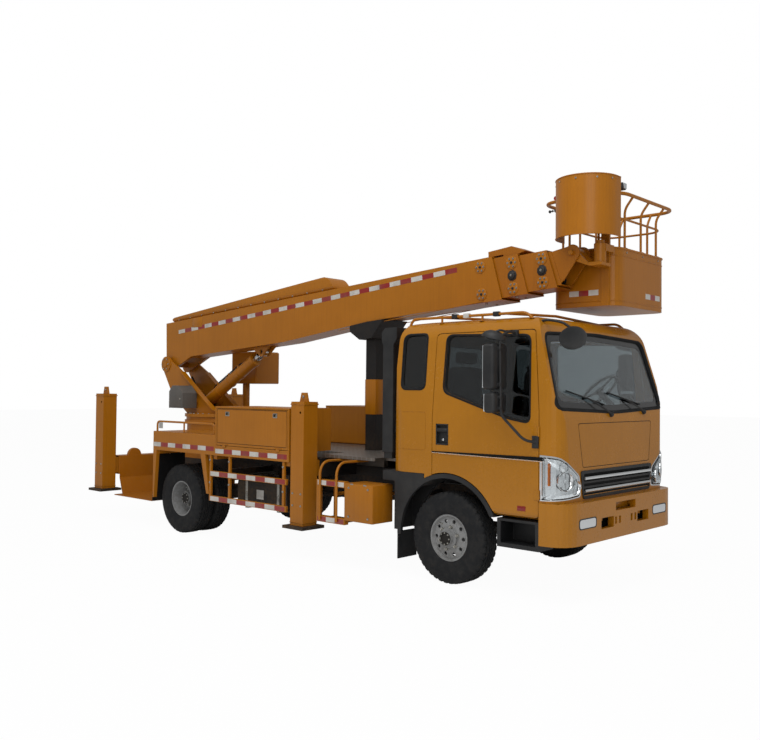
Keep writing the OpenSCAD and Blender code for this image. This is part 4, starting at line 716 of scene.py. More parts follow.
# the lid's shut line as a black strip of painted shade, then the chrome bars on the grille
shadow_gap = enamel("painted_shade_black", "#0a0a0a", rough=0.9, dirt=0.0, streaks=0.0, coat=0.0)
bm = bmesh.new()
strip(bm, *[laid(cab_skin, lid(g), 0.0007, "x", 160) for g in (0.0, 0.005)])
done(bm, "front_lid_gap_shade", shadow_gap, "truck")
face_skin = skin_of("grille", "cab_shell", "headlights", "bumper")
bm = bmesh.new()
for z, half in ((0.985, 0.60), (0.880, 0.585)):
    rows = [[point_on(face_skin, half * (k / 30 - 1), z + dz, lift, "x") for k in range(61)]
            for dz, lift in ((-0.016, 0.001), (-0.011, 0.014), (0.0, 0.020), (0.011, 0.014), (0.016, 0.001))]
    depth = [max(p.x for p in across) for across in zip(*rows)]
    grid = [[bm.verts.new((x + shift, p.y, p.z)) for x, p in zip(depth, row)]
            for row, shift in zip(rows, (-0.018, -0.004, 0.0, -0.004, -0.018))]
    for one, two in zip(grid, grid[1:]):
        for i in range(60):
            bm.faces.new((one[i], one[i + 1], two[i + 1], two[i]))
    for end in (0, 60):
        bm.faces.new([row[end] for row in grid])
    bm.faces.new(grid[0] + grid[-1][::-1])
done(bm, "grille_bars", chrome, "truck")
# painted shade: a flat black sheet behind the grille's bars in place of the dark space there, and the crash
# beam's shadow behind the bumper's openings
bm = bmesh.new()
rows = [[bm.verts.new(point_on(cab_skin, 0.60 * (k / 24 - 1), z, 0.0015, "x")) for k in range(49)]
        for z in (0.845, 0.89, 0.94, 0.99, 1.025)]
for one, two in zip(rows, rows[1:]):
    for i in range(48):
        bm.faces.new((one[i], one[i + 1], two[i + 1], two[i]))
brick(bm, (3.385, -0.55, 0.50), (3.392, 0.55, 0.76), 0.002)
done(bm, "grille_painted_shade", shadow_gap, "truck")

# ---- lamps ------------------------------------------------------------------------------
# Halogen headlamps in one clear polycarbonate cover a side, with three bright bowls and an
# amber indicator; fog lamps in the bumper; red and amber plastic for the lamps behind.


def lens_plastic(name, colour, clear=True):
    """Clear or coloured polycarbonate, polished, with faint fluting."""
    mat, place = surface(name)
    flutes = add(mat, "TexWave", {"Vector": place, "Scale": 28.0, "Distortion": 0.0}, bands_direction="Y")
    bump = add(mat, "Bump", {"Height": flutes.outputs["Fac"], "Strength": 0.04 if clear else 0.3,
                             "Distance": 0.002})
    skin = add(mat, "BsdfPrincipled", {"Base Color": rgb(colour), "Roughness": 0.04 if clear else 0.12,
                                       "Transmission Weight": 0.96 if clear else 0.45, "IOR": 1.58,
                                       "Normal": bump})
    add(mat, "OutputMaterial", {"Surface": skin})
    return mat


clear_lens = lens_plastic("clear_polycarbonate_lens", "#e9eef0")
red_lens = lens_plastic("red_acrylic_lens", "#a01512", False)
amber_lens = lens_plastic("amber_acrylic_lens", "#c8690f", False)
bright_bowl = bare_metal("vapour_plated_reflector", "#dfe2e4", 0.12)
for side, s in (("right", -1), ("left", 1)):
    # clear cover, domed a little over the recess, with a ring of painted shade round its foot
    bm = bmesh.new()
    shape = eased([(s * a, b) for a, b in ((0.655, 0.85), (0.992, 0.83), (0.992, 1.165), (0.90, 1.145),
                                           (0.675, 1.005))], 0.03)
    centre = Vector((s * 0.83, 0.985))
    inner = strip(bm, *[laid(face_skin, [centre + (p - centre) * inset for p in shape], lift, "x", 90)
                        for inset, lift in ((1.0, 0.001), (0.96, 0.007), (0.8, 0.011), (0.5, 0.012))])
    hub = bm.verts.new(sum((v.co for v in inner), Vector()) / 90)
    for a, b in zip(inner, inner[1:] + inner[:1]):
        bm.faces.new((a, b, hub))
    done(bm, f"headlamp_cover_{side}", clear_lens, "truck")
    bm = bmesh.new()
    one = laid(face_skin, shape, 0.003, "x", 90)
    outer = [centre + (p - centre) * 1.045 for p in shape]
    two = laid(face_skin, [(max(-0.991, min(0.991, p.x)), p.y) for p in outer], 0.0015, "x", 90)
    # the shade ring ends where the cab's corner turns back
    strip(bm, one, [Vector((max(q.x, p.x - 0.012), q.y, q.z)) for p, q in zip(one, two)])
    done(bm, f"headlamp_edge_shade_{side}", shadow_gap, "truck")
    bm = bmesh.new()
    for y, z, r in ((0.735, 0.925, 0.062), (0.86, 0.975, 0.075), (0.87, 1.085, 0.042)):
        axis = Vector((1, s * 0.35, 0)).normalized()
        spot = point_on(face_skin, s * y, z, 0.002, "x") + axis * 0.004
        turned(bm, [(r, 0.004), (r * 0.97, 0.0), (r * 0.7, -0.018), (r * 0.35, -0.026), (r * 0.3, -0.012),
                    (r * 0.18, -0.005), (0, -0.004)], spot, axis, 36)
        turned(bm, [(r, 0.004), (r * 1.06, 0.003), (r * 1.07, -0.004)], spot, axis, 36, 1)
    spot = point_on(face_skin, s * 0.955, 1.03, 0.002, "x")
    brick(bm, spot - Vector((0.012, 0.022, 0.09)), spot + Vector((0.004, 0.022, 0.09)), 0.006, 2, 3)
    done(bm, f"headlamp_bowls_{side}", [bright_bowl, chrome, amber_lens], "truck")
    # fog lamp with its bezel in the bumper's face
    bm = bmesh.new()
    mid = Vector((s * 0.65, 0.6315))
    outline = eased([(s * 0.52, 0.595), (s * 0.78, 0.595), (s * 0.78, 0.668), (s * 0.52, 0.668)], 0.025)
    glass = strip(bm, *[
        laid(face_skin, [mid + Vector(((p.x - mid.x) * k, (p.y - mid.y) * (1 + (k - 1) * 2.4)))
                         for p in outline], lift, "x", 60)
        for k, lift in ((1.09, 0.0004), (1.04, 0.0009), (0.98, 0.0007))])
    bm.faces.new([bm.verts.new(v.co) for v in glass]).material_index = 1
    done(bm, f"fog_lamp_{side}", [black_moulding, bright_bowl], "truck")
wear(bright_bowl, "headlights")

# ---- seats ------------------------------------------------------------------------------
# Two foam seats and a narrow bench in grey woven cloth, sewn in channels, on grey moulded
# bases.


def woven_cloth(name, colour):
    """Plain-woven seat cloth, 4 mm threads so that they show, a little faded in patches."""
    mat, place = surface(name)
    warp = add(mat, "TexWave", {"Vector": place, "Scale": 40.0}, bands_direction="Y")
    weft = add(mat, "TexWave", {"Vector": place, "Scale": 40.0}, bands_direction="Z")
    weave = add(mat, "Math", {0: warp.outputs["Fac"], 1: weft.outputs["Fac"]}, operation="MULTIPLY")
    fade = add(mat, "TexNoise", {"Vector": place, "Scale": 5.0, "Detail": 5.0})
    look = add(mat, "Mix", {0: fade, 6: rgb(colour), 7: rgb("#5a5c60")}, data_type="RGBA")
    bump = add(mat, "Bump", {"Height": weave, "Strength": 0.3, "Distance": 0.001})
    cloth = add(mat, "BsdfPrincipled", {"Base Color": look, "Roughness": 0.9, "Sheen Weight": 0.35,
                                        "Normal": bump})
    add(mat, "OutputMaterial", {"Surface": cloth})
    return mat


seat_cloth = woven_cloth("grey_seat_cloth", "#34363a")


def pad(bm, lo, hi, crown, channels=()):
    """A foam pad: rounded corners, a crowned face towards +Z and sewn channels across it."""
    lo, hi = Vector(lo), Vector(hi)
    before = set(bm.verts)
    start = bmesh.ops.create_cube(bm, size=2)["verts"]
    bmesh.ops.subdivide_edges(bm, edges=list({e for v in start for e in v.link_edges}), cuts=11,
                              use_grid_fill=True)
    made = [v for v in bm.verts if v not in before]
    for v in made:
        p = v.co.copy()
        p *= (sum(abs(c) ** 7 for c in p)) ** (-1 / 7)
        if p.z > 0:
            p.z += crown * (1 - p.x ** 2) * (1 - p.y ** 2) * p.z
            for c in channels:
                p.z -= 0.16 * math.exp(-((p.y - c) / 0.05) ** 2) * p.z
        v.co = Vector([lo[i] + (p[i] + 1) / 2 * (hi[i] - lo[i]) for i in range(3)])


for side, s in SIDES:
    y0, y1 = sorted((s * 0.385, s * 0.855))
    bm = bmesh.new()
    pad(bm, (2.20, y0, 1.375), (2.705, y1, 1.478), 0.18, (-0.55, 0.55))
    cushion = done(bm, f"seat_cushion_{side}", seat_cloth, "truck",
                   ["seats"] if s > 0 else (), 60)
    bm = bmesh.new()
    lean = Matrix.Translation((2.205, 0, 1.47)) @ Matrix.Rotation(math.radians(-85.5), 4, "Y")
    pad(bm, (0.0, y0 + 0.01, -0.045), (0.44, y1 - 0.01, 0.045), 0.2, (-0.55, 0.55))
    bmesh.ops.transform(bm, matrix=lean, verts=bm.verts)
    back = done(bm, f"seat_back_{side}", seat_cloth, "truck", (), 60)
    bm = bmesh.new()
    pad(bm, (0.47, (y0 + y1) / 2 - 0.13, -0.035), (0.575, (y0 + y1) / 2 + 0.13, 0.035), 0.2)
    bmesh.ops.transform(bm, matrix=lean, verts=bm.verts)
    rest = done(bm, f"seat_headrest_{side}", seat_cloth, "truck", (), 60)
    bm = bmesh.new()
    brick(bm, (2.25, y0 + 0.05, 1.17), (2.59, y1 - 0.05, 1.376), 0.012)
    for y in (-0.05, 0.05):
        tube(bm, [lean @ Vector((t, (y0 + y1) / 2 + y, 0)) for t in (0.42, 0.49)], 0.006, mat=1)
    tube(bm, [(2.26, y0 + 0.015, 1.37), (2.20, y0 + 0.012, 1.43), (2.19, y0 + 0.012, 1.50)], 0.012, 0.02)
    done(bm, f"seat_base_{side}", [grey_moulding, zinc], "truck")
bm = bmesh.new()
pad(bm, (1.745, -0.71, 1.30), (1.965, 0.71, 1.412), 0.12, (-0.33, 0.33))
done(bm, "bench_cushion", seat_cloth, "truck", (), 60)
bm = bmesh.new()
pad(bm, (0.0, -0.69, -0.032), (0.215, 0.69, 0.032), 0.12, (-0.33, 0.33))
upright = Matrix.Translation((1.776, 0, 1.42)) @ Matrix.Rotation(math.radians(-90), 4, "Y")
bmesh.ops.transform(bm, matrix=upright, verts=bm.verts)
done(bm, "bench_back", seat_cloth, "truck", (), 60)
bm = bmesh.new()
brick(bm, (1.735, -0.70, 1.18), (1.955, 0.70, 1.30), 0.01)
done(bm, "bench_base", grey_moulding, "truck")

# ---- reflective tape --------------------------------------------------------------------
# Self-adhesive retroreflective film in white and red blocks of 100 to 160 mm, along the boom,
# the body's lower band, the guard rails and the basket.


def film(name, colour):
    """Retroreflective film: a fine net of 4 mm cells under a clear skin."""
    mat, place = surface(name)
    cells = add(mat, "TexVoronoi", {"Vector": place, "Scale": 250.0})
    grime = add(mat, "TexNoise", {"Vector": place, "Scale": 8.0, "Detail": 6.0})
    soil = add(mat, "MapRange", {0: grime, 1: 0.45, 2: 0.85, 3: 0.0, 4: 0.5})
    look = add(mat, "Mix", {0: soil, 6: rgb(colour), 7: rgb("#6b5f50")}, data_type="RGBA")
    bump = add(mat, "Bump", {"Height": cells, "Strength": 0.15, "Distance": 0.0005})
    skin = add(mat, "BsdfPrincipled", {"Base Color": look, "Roughness": 0.3, "Normal": bump,
                                       "Coat Weight": 0.3})
    add(mat, "OutputMaterial", {"Surface": skin})
    return mat


white_film = film("white_reflective_film", "#c9c6bf")
red_film = film("red_reflective_film", "#8e120c")


def tape(bm, start, end, height, out, block=0.15, first=0):
    """A row of white and red blocks from start to end, standing off the surface by 0.8 mm."""
    start, end, out = Vector(start), Vector(end), Vector(out)
    run = (end - start).normalized()
    up = run.cross(out).normalized() * (height / 2)
    count = max(1, round((end - start).length / block))
    for k in range(count):
        a, b = start.lerp(end, k / count), start.lerp(end, (k + 1) / count)
        low = [bm.verts.new(p - out * 0.0004) for p in (a - up, b - up, b + up, a + up)]
        top = [bm.verts.new(p + out * 0.0008) for p in (a - up, b - up, b + up, a + up)]
        faces = [bm.faces.new(top)]
        faces += [bm.faces.new((low[i], low[(i + 1) % 4], top[(i + 1) % 4], top[i])) for i in range(4)]
        for face in faces:
            face.material_index = (k + first) % 2


BAND_Y = 1.1402  # just outside the body's side
bm = bmesh.new()
for s in (-1, 1):
    for x0, x1, z in ((-2.06, -0.86, 1.025), (-0.83, 0.37, 1.005)):
        tape(bm, (x0, s * BAND_Y, z), (x1, s * BAND_Y, z), 0.05, (0, s, 0))
done(bm, "band_tape", [white_film, red_film], "truck")

# ---- side guards and steps --------------------------------------------------------------
# Welded square tube rails between the wheels, a step frame with tread plates ahead of them
# and a low round-bar rail over each rear wheel, all painted with the body.
bm = bmesh.new()
tapes = bmesh.new()
GUARD_Y = 1.1362  # just outside the rails
for s in (-1, 1):
    def both(lo, hi, edge=0.003, mat=0, s=s):
        brick(bm, *sided(s, lo, hi), edge, mat)

    for z in (0.72, 0.445):
        both((-0.944, 1.106, z), (0.36, 1.136, z + 0.06))
        tape(tapes, (-0.92, s * GUARD_Y, z + 0.03), (0.34, s * GUARD_Y, z + 0.03), 0.048, (0, s, 0), 0.16)
    for x in (-0.944, -0.60, 0.295):
        both((x, 1.107, 0.4455), (x + 0.03, 1.135, 0.9547))
        for z in (0.65, 0.90):
            bolt(bm, (x + 0.015, s * 1.135, z), (0, s, 0), 0.010, 1)
    tube(bm, [(x, s * 1.11, z) for x, z in (
        (-2.033, 1.181), (-2.033, 1.298), (-0.892, 1.298), (-0.892, 1.181))], 0.012, 0.05, 14)
    tube(bm, [(-1.478, s * 1.11, 1.181), (-1.478, s * 1.11, 1.298)], 0.010)
    # step frame: box, rails, posts, treads and the beams that carry them
    both((1.20, 0.86, 0.456), (1.57, 1.14, 0.81), 0.008)
    for z, first in ((0.79, 0), (0.44, 1)):
        tape(tapes, (0.83, s * GUARD_Y, z), (1.19, s * GUARD_Y, z), 0.045, (0, s, 0), 0.12, first)
    for z in (0.76, 0.41):
        both((0.81, 1.08, z), (1.201, 1.136, z + 0.06))
    both((0.81, 1.08, 0.41), (0.84, 1.135, 0.82))
    for z in (0.43, 0.78):
        both((0.82, 0.91, z), (1.20, 1.11, z + 0.012), 0.002, 2)
    for x in (0.825, 1.17):
        both((x, 0.375, 0.64), (x + 0.03, 0.911, 0.672))
        both((x, 0.895, 0.43), (x + 0.03, 0.915, 0.80))
    for x, z in ((1.26, 0.50), (1.51, 0.50), (1.26, 0.77), (1.51, 0.77)):
        bolt(bm, (x, s * 1.14, z), (0, s, 0), 0.009, 1)
    for x in (1.30, 1.47):
        both((x - 0.02, 1.139, 0.80), (x + 0.02, 1.1415, 0.812), 0.001, 1)
for x in (0.87, 1.10):
    tube(bm, [(x, -1.146, 0.43), (x, -1.146, 0.92), (x, -1.08, 0.995), (x, -0.70, 0.995)], 0.013, 0.06, 14)
# small blank plate on the low rail
brick(bm, (-1.98, -1.124, 1.215), (-1.90, -1.121, 1.285), 0.001, 3)


def tread_plate(name, colour):
    """Rolled tread plate: raised ovals 30 mm apart in two directions, scuffed bright on top."""
    mat, place = surface(name)
    turned_45 = add(mat, "Mapping", {"Vector": place, "Rotation": (0, 0, math.radians(45))})
    one = add(mat, "TexWave", {"Vector": turned_45, "Scale": 7.0}, bands_direction="X")
    two = add(mat, "TexWave", {"Vector": turned_45, "Scale": 7.0}, bands_direction="Y")
    cross = add(mat, "Math", {0: one.outputs["Fac"], 1: two.outputs["Fac"]}, operation="MULTIPLY")
    raised = add(mat, "MapRange", {0: cross, 1: 0.45, 2: 0.7, 3: 0.0, 4: 1.0})
    dirt = add(mat, "TexNoise", {"Vector": place, "Scale": 6.0, "Detail": 7.0, "Roughness": 0.65})
    hollow = add(mat, "Math", {0: dirt, 1: raised}, operation="SUBTRACT")
    look = add(mat, "Mix", {0: hollow, 6: rgb(colour), 7: rgb("#6a6055")}, data_type="RGBA")
    bump = add(mat, "Bump", {"Height": raised, "Strength": 0.5, "Distance": 0.002})
    plate = add(mat, "BsdfPrincipled", {"Base Color": look, "Metallic": 0.85, "Roughness": 0.42,
                                        "Normal": bump})
    add(mat, "OutputMaterial", {"Surface": plate})
    return mat


checker = tread_plate("aluminium_tread_plate", "#8d8a85")
plain_plate = bare_metal("etched_aluminium_plate", "#c8c7c2", 0.45)
done(bm, "guard_rails", [yellow, zinc, checker, plain_plate], "truck", ["side_guards"])
done(tapes, "guard_tape", [white_film, red_film], "truck")
wear(checker, "deck")

# ---- toolboxes, tanks and body fittings -------------------------------------------------
# Folded sheet lockers with drop-down doors; slam latches of bright zinc; steel straps round
# the tanks; rubber flaps behind the wheels; lamps at the rear corners.
for side, s in SIDES:
    door_skin = skin_of(f"toolbox_door_{side}")
    bm = bmesh.new()
    for x in (-0.62, 0.18):
        at = point_on(door_skin, x, 1.42, 0.0, s)
        brick(bm, at - Vector((0.035, 0.004, 0.024)), at + Vector((0.035, 0.004, 0.024)), 0.003, 0)
        brick(bm, at + Vector((-0.022, s * 0.004 - 0.003, -0.014)),
              at + Vector((0.022, s * 0.004 + 0.005, 0.016)), 0.003, 1)
        turned(bm, [(0, 0), (0.007, 0), (0.007, 0.007), (0, 0.007)], at + Vector((0.022, s * 0.004, -0.002)),
               (0, s, 0), 16)
    # folded stiffening line round the door, drawn as a thin black line of painted shade
    fold = [point_on(door_skin, x, z, 0.0006, s)
            for x, z in ((-0.80, 1.10), (0.36, 1.10), (0.36, 1.47), (-0.80, 1.47))]
    tube(bm, fold, 0.0022, closed=True, sides=6, mat=2)
    done(bm, f"toolbox_latches_{side}", [zinc, dark_steel, shadow_gap], f"toolbox_door_{side}")
TANK_Y = 0.9325  # outer face of a strap
bm = bmesh.new()
for s in (-1, 1):
    for x in (-0.55, -0.02):
        # strap over, under and down the outer side of the tank
        for y, low, high in ((0.43, 0.729, 0.7325), (0.43, 0.3875, 0.391), (0.929, 0.3875, 0.7325)):
            brick(bm, *sided(s, (x, y, low), (x + 0.04, TANK_Y, high)), 0.001)
        bolt(bm, (x + 0.02, s * TANK_Y, 0.56), (0, s, 0), 0.008)
    # filler cap and blank plate
    turned(bm, [(0, 0), (0.045, 0), (0.045, 0.028), (0.04, 0.034), (0, 0.036)], (-0.27, s * 0.70, 0.728),
           (0, 0, 1), 28, 1)
    brick(bm, *sided(s, (-0.36, 0.9295, 0.50), (-0.24, 0.931, 0.60)), 0.0005, 2)
done(bm, "tank_straps", [zinc, black_moulding, plain_plate], "truck")
bm = bmesh.new()
for s in (-1, 1):
    y0, y1 = sorted((s * 0.66, s * 1.10))
    flap = [bm.verts.new((-2.105 - 0.03 * math.sin(t * 1.5) * t, y, 0.93 - 0.60 * t))
            for t in [k / 10 for k in range(11)] for y in (y0, y1)]
    for k in range(10):
        bm.faces.new((flap[2 * k], flap[2 * k + 1], flap[2 * k + 3], flap[2 * k + 2]))
    for y in (y0 + 0.06, (y0 + y1) / 2, y1 - 0.06):
        bolt(bm, (-2.105, y, 0.90), (-1, 0, 0), 0.009, 1)
thick = bmesh.ops.extrude_face_region(bm, geom=[f for f in bm.faces if f.material_index == 0])["geom"]
bmesh.ops.translate(bm, vec=(-0.006, 0, 0), verts=[g for g in thick if isinstance(g, bmesh.types.BMVert)])
done(bm, "rear_flaps", [seal_rubber, zinc], "truck")
bm = bmesh.new()
for s in (-1, 1):
    y0, y1 = sorted((s * 0.70, s * 1.08))
    brick(bm, (-2.094, y0, 0.962), (-2.071, y1, 1.044), 0.006)
    for k, mat in ((0, 1), (1, 2), (2, 1)):
        a = y0 + 0.012 + k * (y1 - y0 - 0.024) / 3
        brick(bm, (-2.104, a, 0.974), (-2.090, a + (y1 - y0 - 0.03) / 3, 1.032), 0.005, mat)
done(bm, "rear_lamps", [black_moulding, red_lens, amber_lens], "truck")

# ---- legs -------------------------------------------------------------------------------
# Square box legs that slide out of a cross beam; each has a capped top with a hung lug, a
# band of weld under the cap and bolts that stop the jack's tube.
LEG_Y = 1.045
for end, x, top, foot in (("front", 0.525, 1.57, 0.33), ("rear", -3.35, 1.62, 0.385)):
    for side, s in SIDES:
        bm = bmesh.new()
        for z, r in ((top - 0.028, 0.0985), (foot + 0.03, 0.0965)):
            ring = [(x + a * r, s * LEG_Y + b * r, z) for a, b in ((-1, -1), (1, -1), (1, 1), (-1, 1))]
            tube(bm, ring, 0.004, sides=8, closed=True)
        for a in (-0.06, 0.06):
            for z in (foot + 0.20, foot + 0.32):
                bolt(bm, (x + a, s * 1.14, z), (0, s, 0), 0.009, 1)
        bolt(bm, (x, s * 1.059, top + 0.05), (0, s, 0), 0.012, 1)
        done(bm, f"leg_fittings_{end}_{side}", [yellow, zinc], f"leg_{end}_{side}")
        bm = bmesh.new()
        for a in (-0.075, 0.075):
            for b in (-0.075, 0.075):
                bolt(bm, (x + a, s * LEG_Y + b, foot - 0.0005), (0, 0, 1), 0.009)
        done(bm, f"foot_bolts_{end}_{side}", zinc, f"jack_{end}_{side}")

# ---- turret and control stand -----------------------------------------------------------
# Plate cheeks welded on a slewing ring; a ring of bolts, a grey electric cabinet and the
# lower control box on its post. Hydraulic hoses loop up from the swivel between the cheeks.
BOOM_PIN = (-3.23, 2.03)
SLEW_X, RING_R, RING_Z = -2.38, 0.345, 1.37
bm = bmesh.new()
for k in range(28):
    a = 2 * math.pi * k / 28
    spot = Vector((SLEW_X + RING_R * math.cos(a), RING_R * math.sin(a), RING_Z))
    # no bolt under the cheeks
    if abs(spot.y) < 0.19 or abs(spot.y) > 0.26:
        bolt(bm, spot, (0, 0, 1), 0.009)
for s in (-1, 1):
    for at in circle((BOOM_PIN[0], s * 0.2385, BOOM_PIN[1]), 0.075, 6):
        bolt(bm, at, (0, s, 0), 0.008)
for y in (-0.10, -0.05, 0.0, 0.05, 0.10):
    # hose from its union up between the cheeks
    tube(bm, [(-2.47, y, 1.372), (-2.52, y, 1.47), (-2.70, y * 1.2, 1.56), (-2.96, y * 1.2, 1.68),
              (-3.10, y * 1.2, 1.86)], 0.012, 0.12, 10, 1)
    turned(bm, [(0, 0), (0.015, 0), (0.015, 0.03), (0.012, 0.034), (0, 0.034)], (-2.47, y, 1.37),
           (0, 0, 1), 8)
done(bm, "turret_bolts_and_hoses", [zinc, seal_rubber], "turntable")


def sheet_part(bm, outline, lo, hi, edge, mat):
    """A flat shape in x and z with thickness and eased rims, from y = lo to y = hi."""
    low = [bm.verts.new((a, lo, b)) for a, b in outline]
    high = [bm.verts.new((a, hi, b)) for a, b in outline]
    n = len(low)
    faces = [bm.faces.new(low), bm.faces.new(high[::-1])]
    faces += [bm.faces.new((low[i], high[i], high[(i + 1) % n], low[(i + 1) % n])) for i in range(n)]
    bmesh.ops.recalc_face_normals(bm, faces=faces)
    cut = bmesh.ops.bevel(bm, geom=list(faces[0].edges) + list(faces[1].edges), offset=edge, segments=2,
                          profile=0.5, affect="EDGES", clamp_overlap=True)
    made = {v for f in cut["faces"] + [g for g in faces if g.is_valid] for v in f.verts}
    for face in {f for v in made for f in v.link_faces}:
        face.material_index = mat


grey_cabinet = enamel("hammer_grey_enamel", "#5f5c58", rough=0.45, dirt=0.3, coat=0.1)
bm = bmesh.new()
brick(bm, (-2.44, 0.30, 1.77), (-1.92, 0.70, 2.19), 0.012, 0, 3)
brick(bm, (-2.275, 0.36, 1.4313), (-2.205, 0.43, 1.771), 0.006, 0)
sheet_part(bm, [(-2.78, 1.44), (-2.47, 1.44), (-2.47, 1.64), (-2.58, 1.735), (-2.71, 1.735),
                (-2.78, 1.66)], -0.465, -0.2403, 0.006, 1)
sheet_part(bm, [(-2.76, 1.46), (-2.49, 1.46), (-2.49, 1.632), (-2.587, 1.715), (-2.70, 1.715),
                (-2.76, 1.655)], -0.468, -0.464, 0.002, 1)
for z in (1.50, 1.62):
    brick(bm, (-2.772, -0.4695, z), (-2.752, -0.462, z + 0.04), 0.002, 2)
turned(bm, [(0, 0), (0.012, 0), (0.012, 0.006), (0.008, 0.010), (0, 0.010)], (-2.52, -0.468, 1.56),
       (0, -1, 0), 18, 2)
# lid, its hinge, the lever gate and the levers of the lower controls
brick(bm, (-2.425, 0.31, 2.186), (-1.935, 0.69, 2.196), 0.003, 0)
brick(bm, (-2.38, 0.6985, 1.83), (-1.98, 0.703, 2.13), 0.004, 3)
for k in range(6):
    at = (-2.33 + 0.06 * k, 0.703, 1.90)
    turned(bm, [(0, 0), (0.016, 0), (0.012, 0.012), (0.006, 0.018), (0.005, 0.05), (0, 0.05)], at,
           (0, 1, 0.25), 14, 3)
    turned(bm, [(0, 0.045), (0.008, 0.047), (0.011, 0.056), (0.008, 0.065), (0, 0.067)], at,
           (0, 1, 0.25), 14, 4)
for k in range(4):
    turned(bm, [(0, 0), (0.014, 0), (0.014, 0.004), (0.009, 0.006), (0.009, 0.012), (0, 0.013)],
           (-2.30 + 0.09 * k, 0.703, 2.05), (0, 1, 0), 18, 2 if k % 2 else 5)
done(bm, "lower_controls", [yellow, grey_cabinet, zinc, black_moulding, red_lens, amber_lens], "turntable",
     ["console"])

# ---- boom -------------------------------------------------------------------------------
# Welded box sections that slide in one another on nylon pads. Each mouth has a doubler with
# rosettes of bolts that set the pads, and black adjusting knobs.
bm = bmesh.new()
brick(bm, (0.4435, -0.0815, 1.428), (0.6065, 0.0815, 1.812), 0.006)
for y in (-0.05, 0.05):
    for z in (1.50, 1.75):
        bolt(bm, (0.4435, y, z), (-1, 0, 0), 0.009, 1)
done(bm, "rest_sleeve", [yellow, zinc], "truck")
SLOPE = math.radians(4)


def on_boom(u, w, y=0.0):
    """A point from its distance along the boom, its height across it and its side."""
    return Vector((BOOM_PIN[0] + u * math.cos(SLOPE) - w * math.sin(SLOPE), y,
                   BOOM_PIN[1] + u * math.sin(SLOPE) + w * math.cos(SLOPE)))


MIDDLE_W = 0.36
for number, body, u, half_y, half_w in ((1, "boom", 5.33, 0.16, 0.215),
                                        (2, "boom_section_2", 5.68, 0.142, 0.197),
                                        (3, "boom_section_3", 5.995, 0.124, 0.179)):
    bm = bmesh.new()
    for s in (-1, 1):
        for w in (MIDDLE_W - half_w * 0.62, MIDDLE_W + half_w * 0.62):
            centre = on_boom(u, w, s * half_y)
            turned(bm, [(0, 0), (0.062, 0), (0.062, 0.004), (0.058, 0.006), (0, 0.006)], centre,
                   (0, s, 0), 28)
            face = centre + Vector((0, s * 0.006, 0))
            for at in circle(face, 0.042, 6):
                bolt(bm, at, (0, s, 0), 0.0085, 1)
            bolt(bm, face, (0, s, 0), 0.011, 2)
        if number == 2 or (number == 3 and s < 0):
            # fluted black knob that sets the side pad; none where the basket swings by
            knob = on_boom(u, MIDDLE_W, s * half_y)
            turned(bm, [(0, 0), (0.052, 0), (0.052, 0.005), (0.040, 0.007), (0.038, 0.018), (0.030, 0.022),
                        (0, 0.022)], knob, (0, s, 0), 9, 2)
            bolt(bm, knob + Vector((0, s * 0.022, 0)), (0, s, 0), 0.010, 1)
    # bolts of the upper and lower pads; the third section has none below, beside the basket
    for up in (-1, 1)[number // 3:]:
        for y in (-half_y * 0.55, half_y * 0.55):
            bolt(bm, on_boom(u, MIDDLE_W + up * half_w, y), (-up * math.sin(SLOPE), 0, up), 0.011, 1)
    done(bm, f"pad_bolts_{number}", [yellow, zinc, black_moulding], body)
tapes = bmesh.new()
for s in (-1, 1):
    tape(tapes, (-3.03, s * 0.1602, 2.47), (1.77, s * 0.1602, 2.895), 0.05, (0, s, 0))
done(tapes, "boom_tape", [white_film, red_film], "boom")
bm = bmesh.new()
for s in (-1, 1):
    # seam and screws of the sheet cover over the boom's root, and its service hatch
    for k in range(12):
        bolt(bm, on_boom(0.25 + 0.26 * k, 0.592, s * 0.16), (0, s, 0), 0.007, 0)
    brick(bm, on_boom(0.55, 0.45, s * 0.161 - 0.001), on_boom(0.78, 0.56, s * 0.161 + 0.001), 0.0008, 1)
    tube(bm, [on_boom(3.35, 0.10, s * 0.163), on_boom(5.35, 0.155, s * 0.163)], 0.004, sides=8, mat=2)
done(bm, "boom_screws", [zinc, yellow, yellow], "boom")
bm = bmesh.new()
for y in (-0.055, 0.0, 0.055):
    tube(bm, [on_boom(u, w, y) for u, w in ((5.98, 0.30), (6.11, 0.31), (6.14, 0.25), (6.02, 0.20))], 0.011,
         0.05, 10)
done(bm, "head_hoses", seal_rubber, "boom_section_4")
bm = bmesh.new()
root = Vector((-2.55, 0, 1.53))
direction = (on_boom(1.85, 0.0) - root).normalized()
square = Vector((-direction.z, 0, direction.x))
for off in (0.086, 0.108):
    tube(bm, [root + direction * d + square * off * rise
              for d, rise in ((0.16, 0.6), (0.22, 1), (0.84, 1), (0.90, 0.75))], 0.009, 0.03, 10)
for d in (0.30, 0.56, 0.78):
    # band and clamp
    at = root + direction * d
    turned(bm, [(0.0765, -0.012), (0.081, -0.012), (0.081, 0.012), (0.0765, 0.012)], at, direction, 28, 1)
    grip, half = at + square * 0.097, Vector((0.014, 0.012, 0.02))
    brick(bm, grip - half, grip + half, 0.003, 1)
done(bm, "cylinder_pipes", [dark_steel, yellow], "lift_barrel")

# ---- work basket ------------------------------------------------------------------------
# Laminate basket with a rolled rim; bent tube rails above it, a lamp on the corner post and
# the controls under a rain cover shaped as half a drum.


def loop(out, z, ease=0.19):
    """A ring round the basket, out from its walls."""
    x0, x1, y0, y1 = 2.65 - out, 3.33 + out, 0.15 - out, 1.17 + out
    return [Vector((*p, z)) for p in eased([(x0, y0), (x1, y0), (x1, y1), (x0, y1)], ease, 8)]


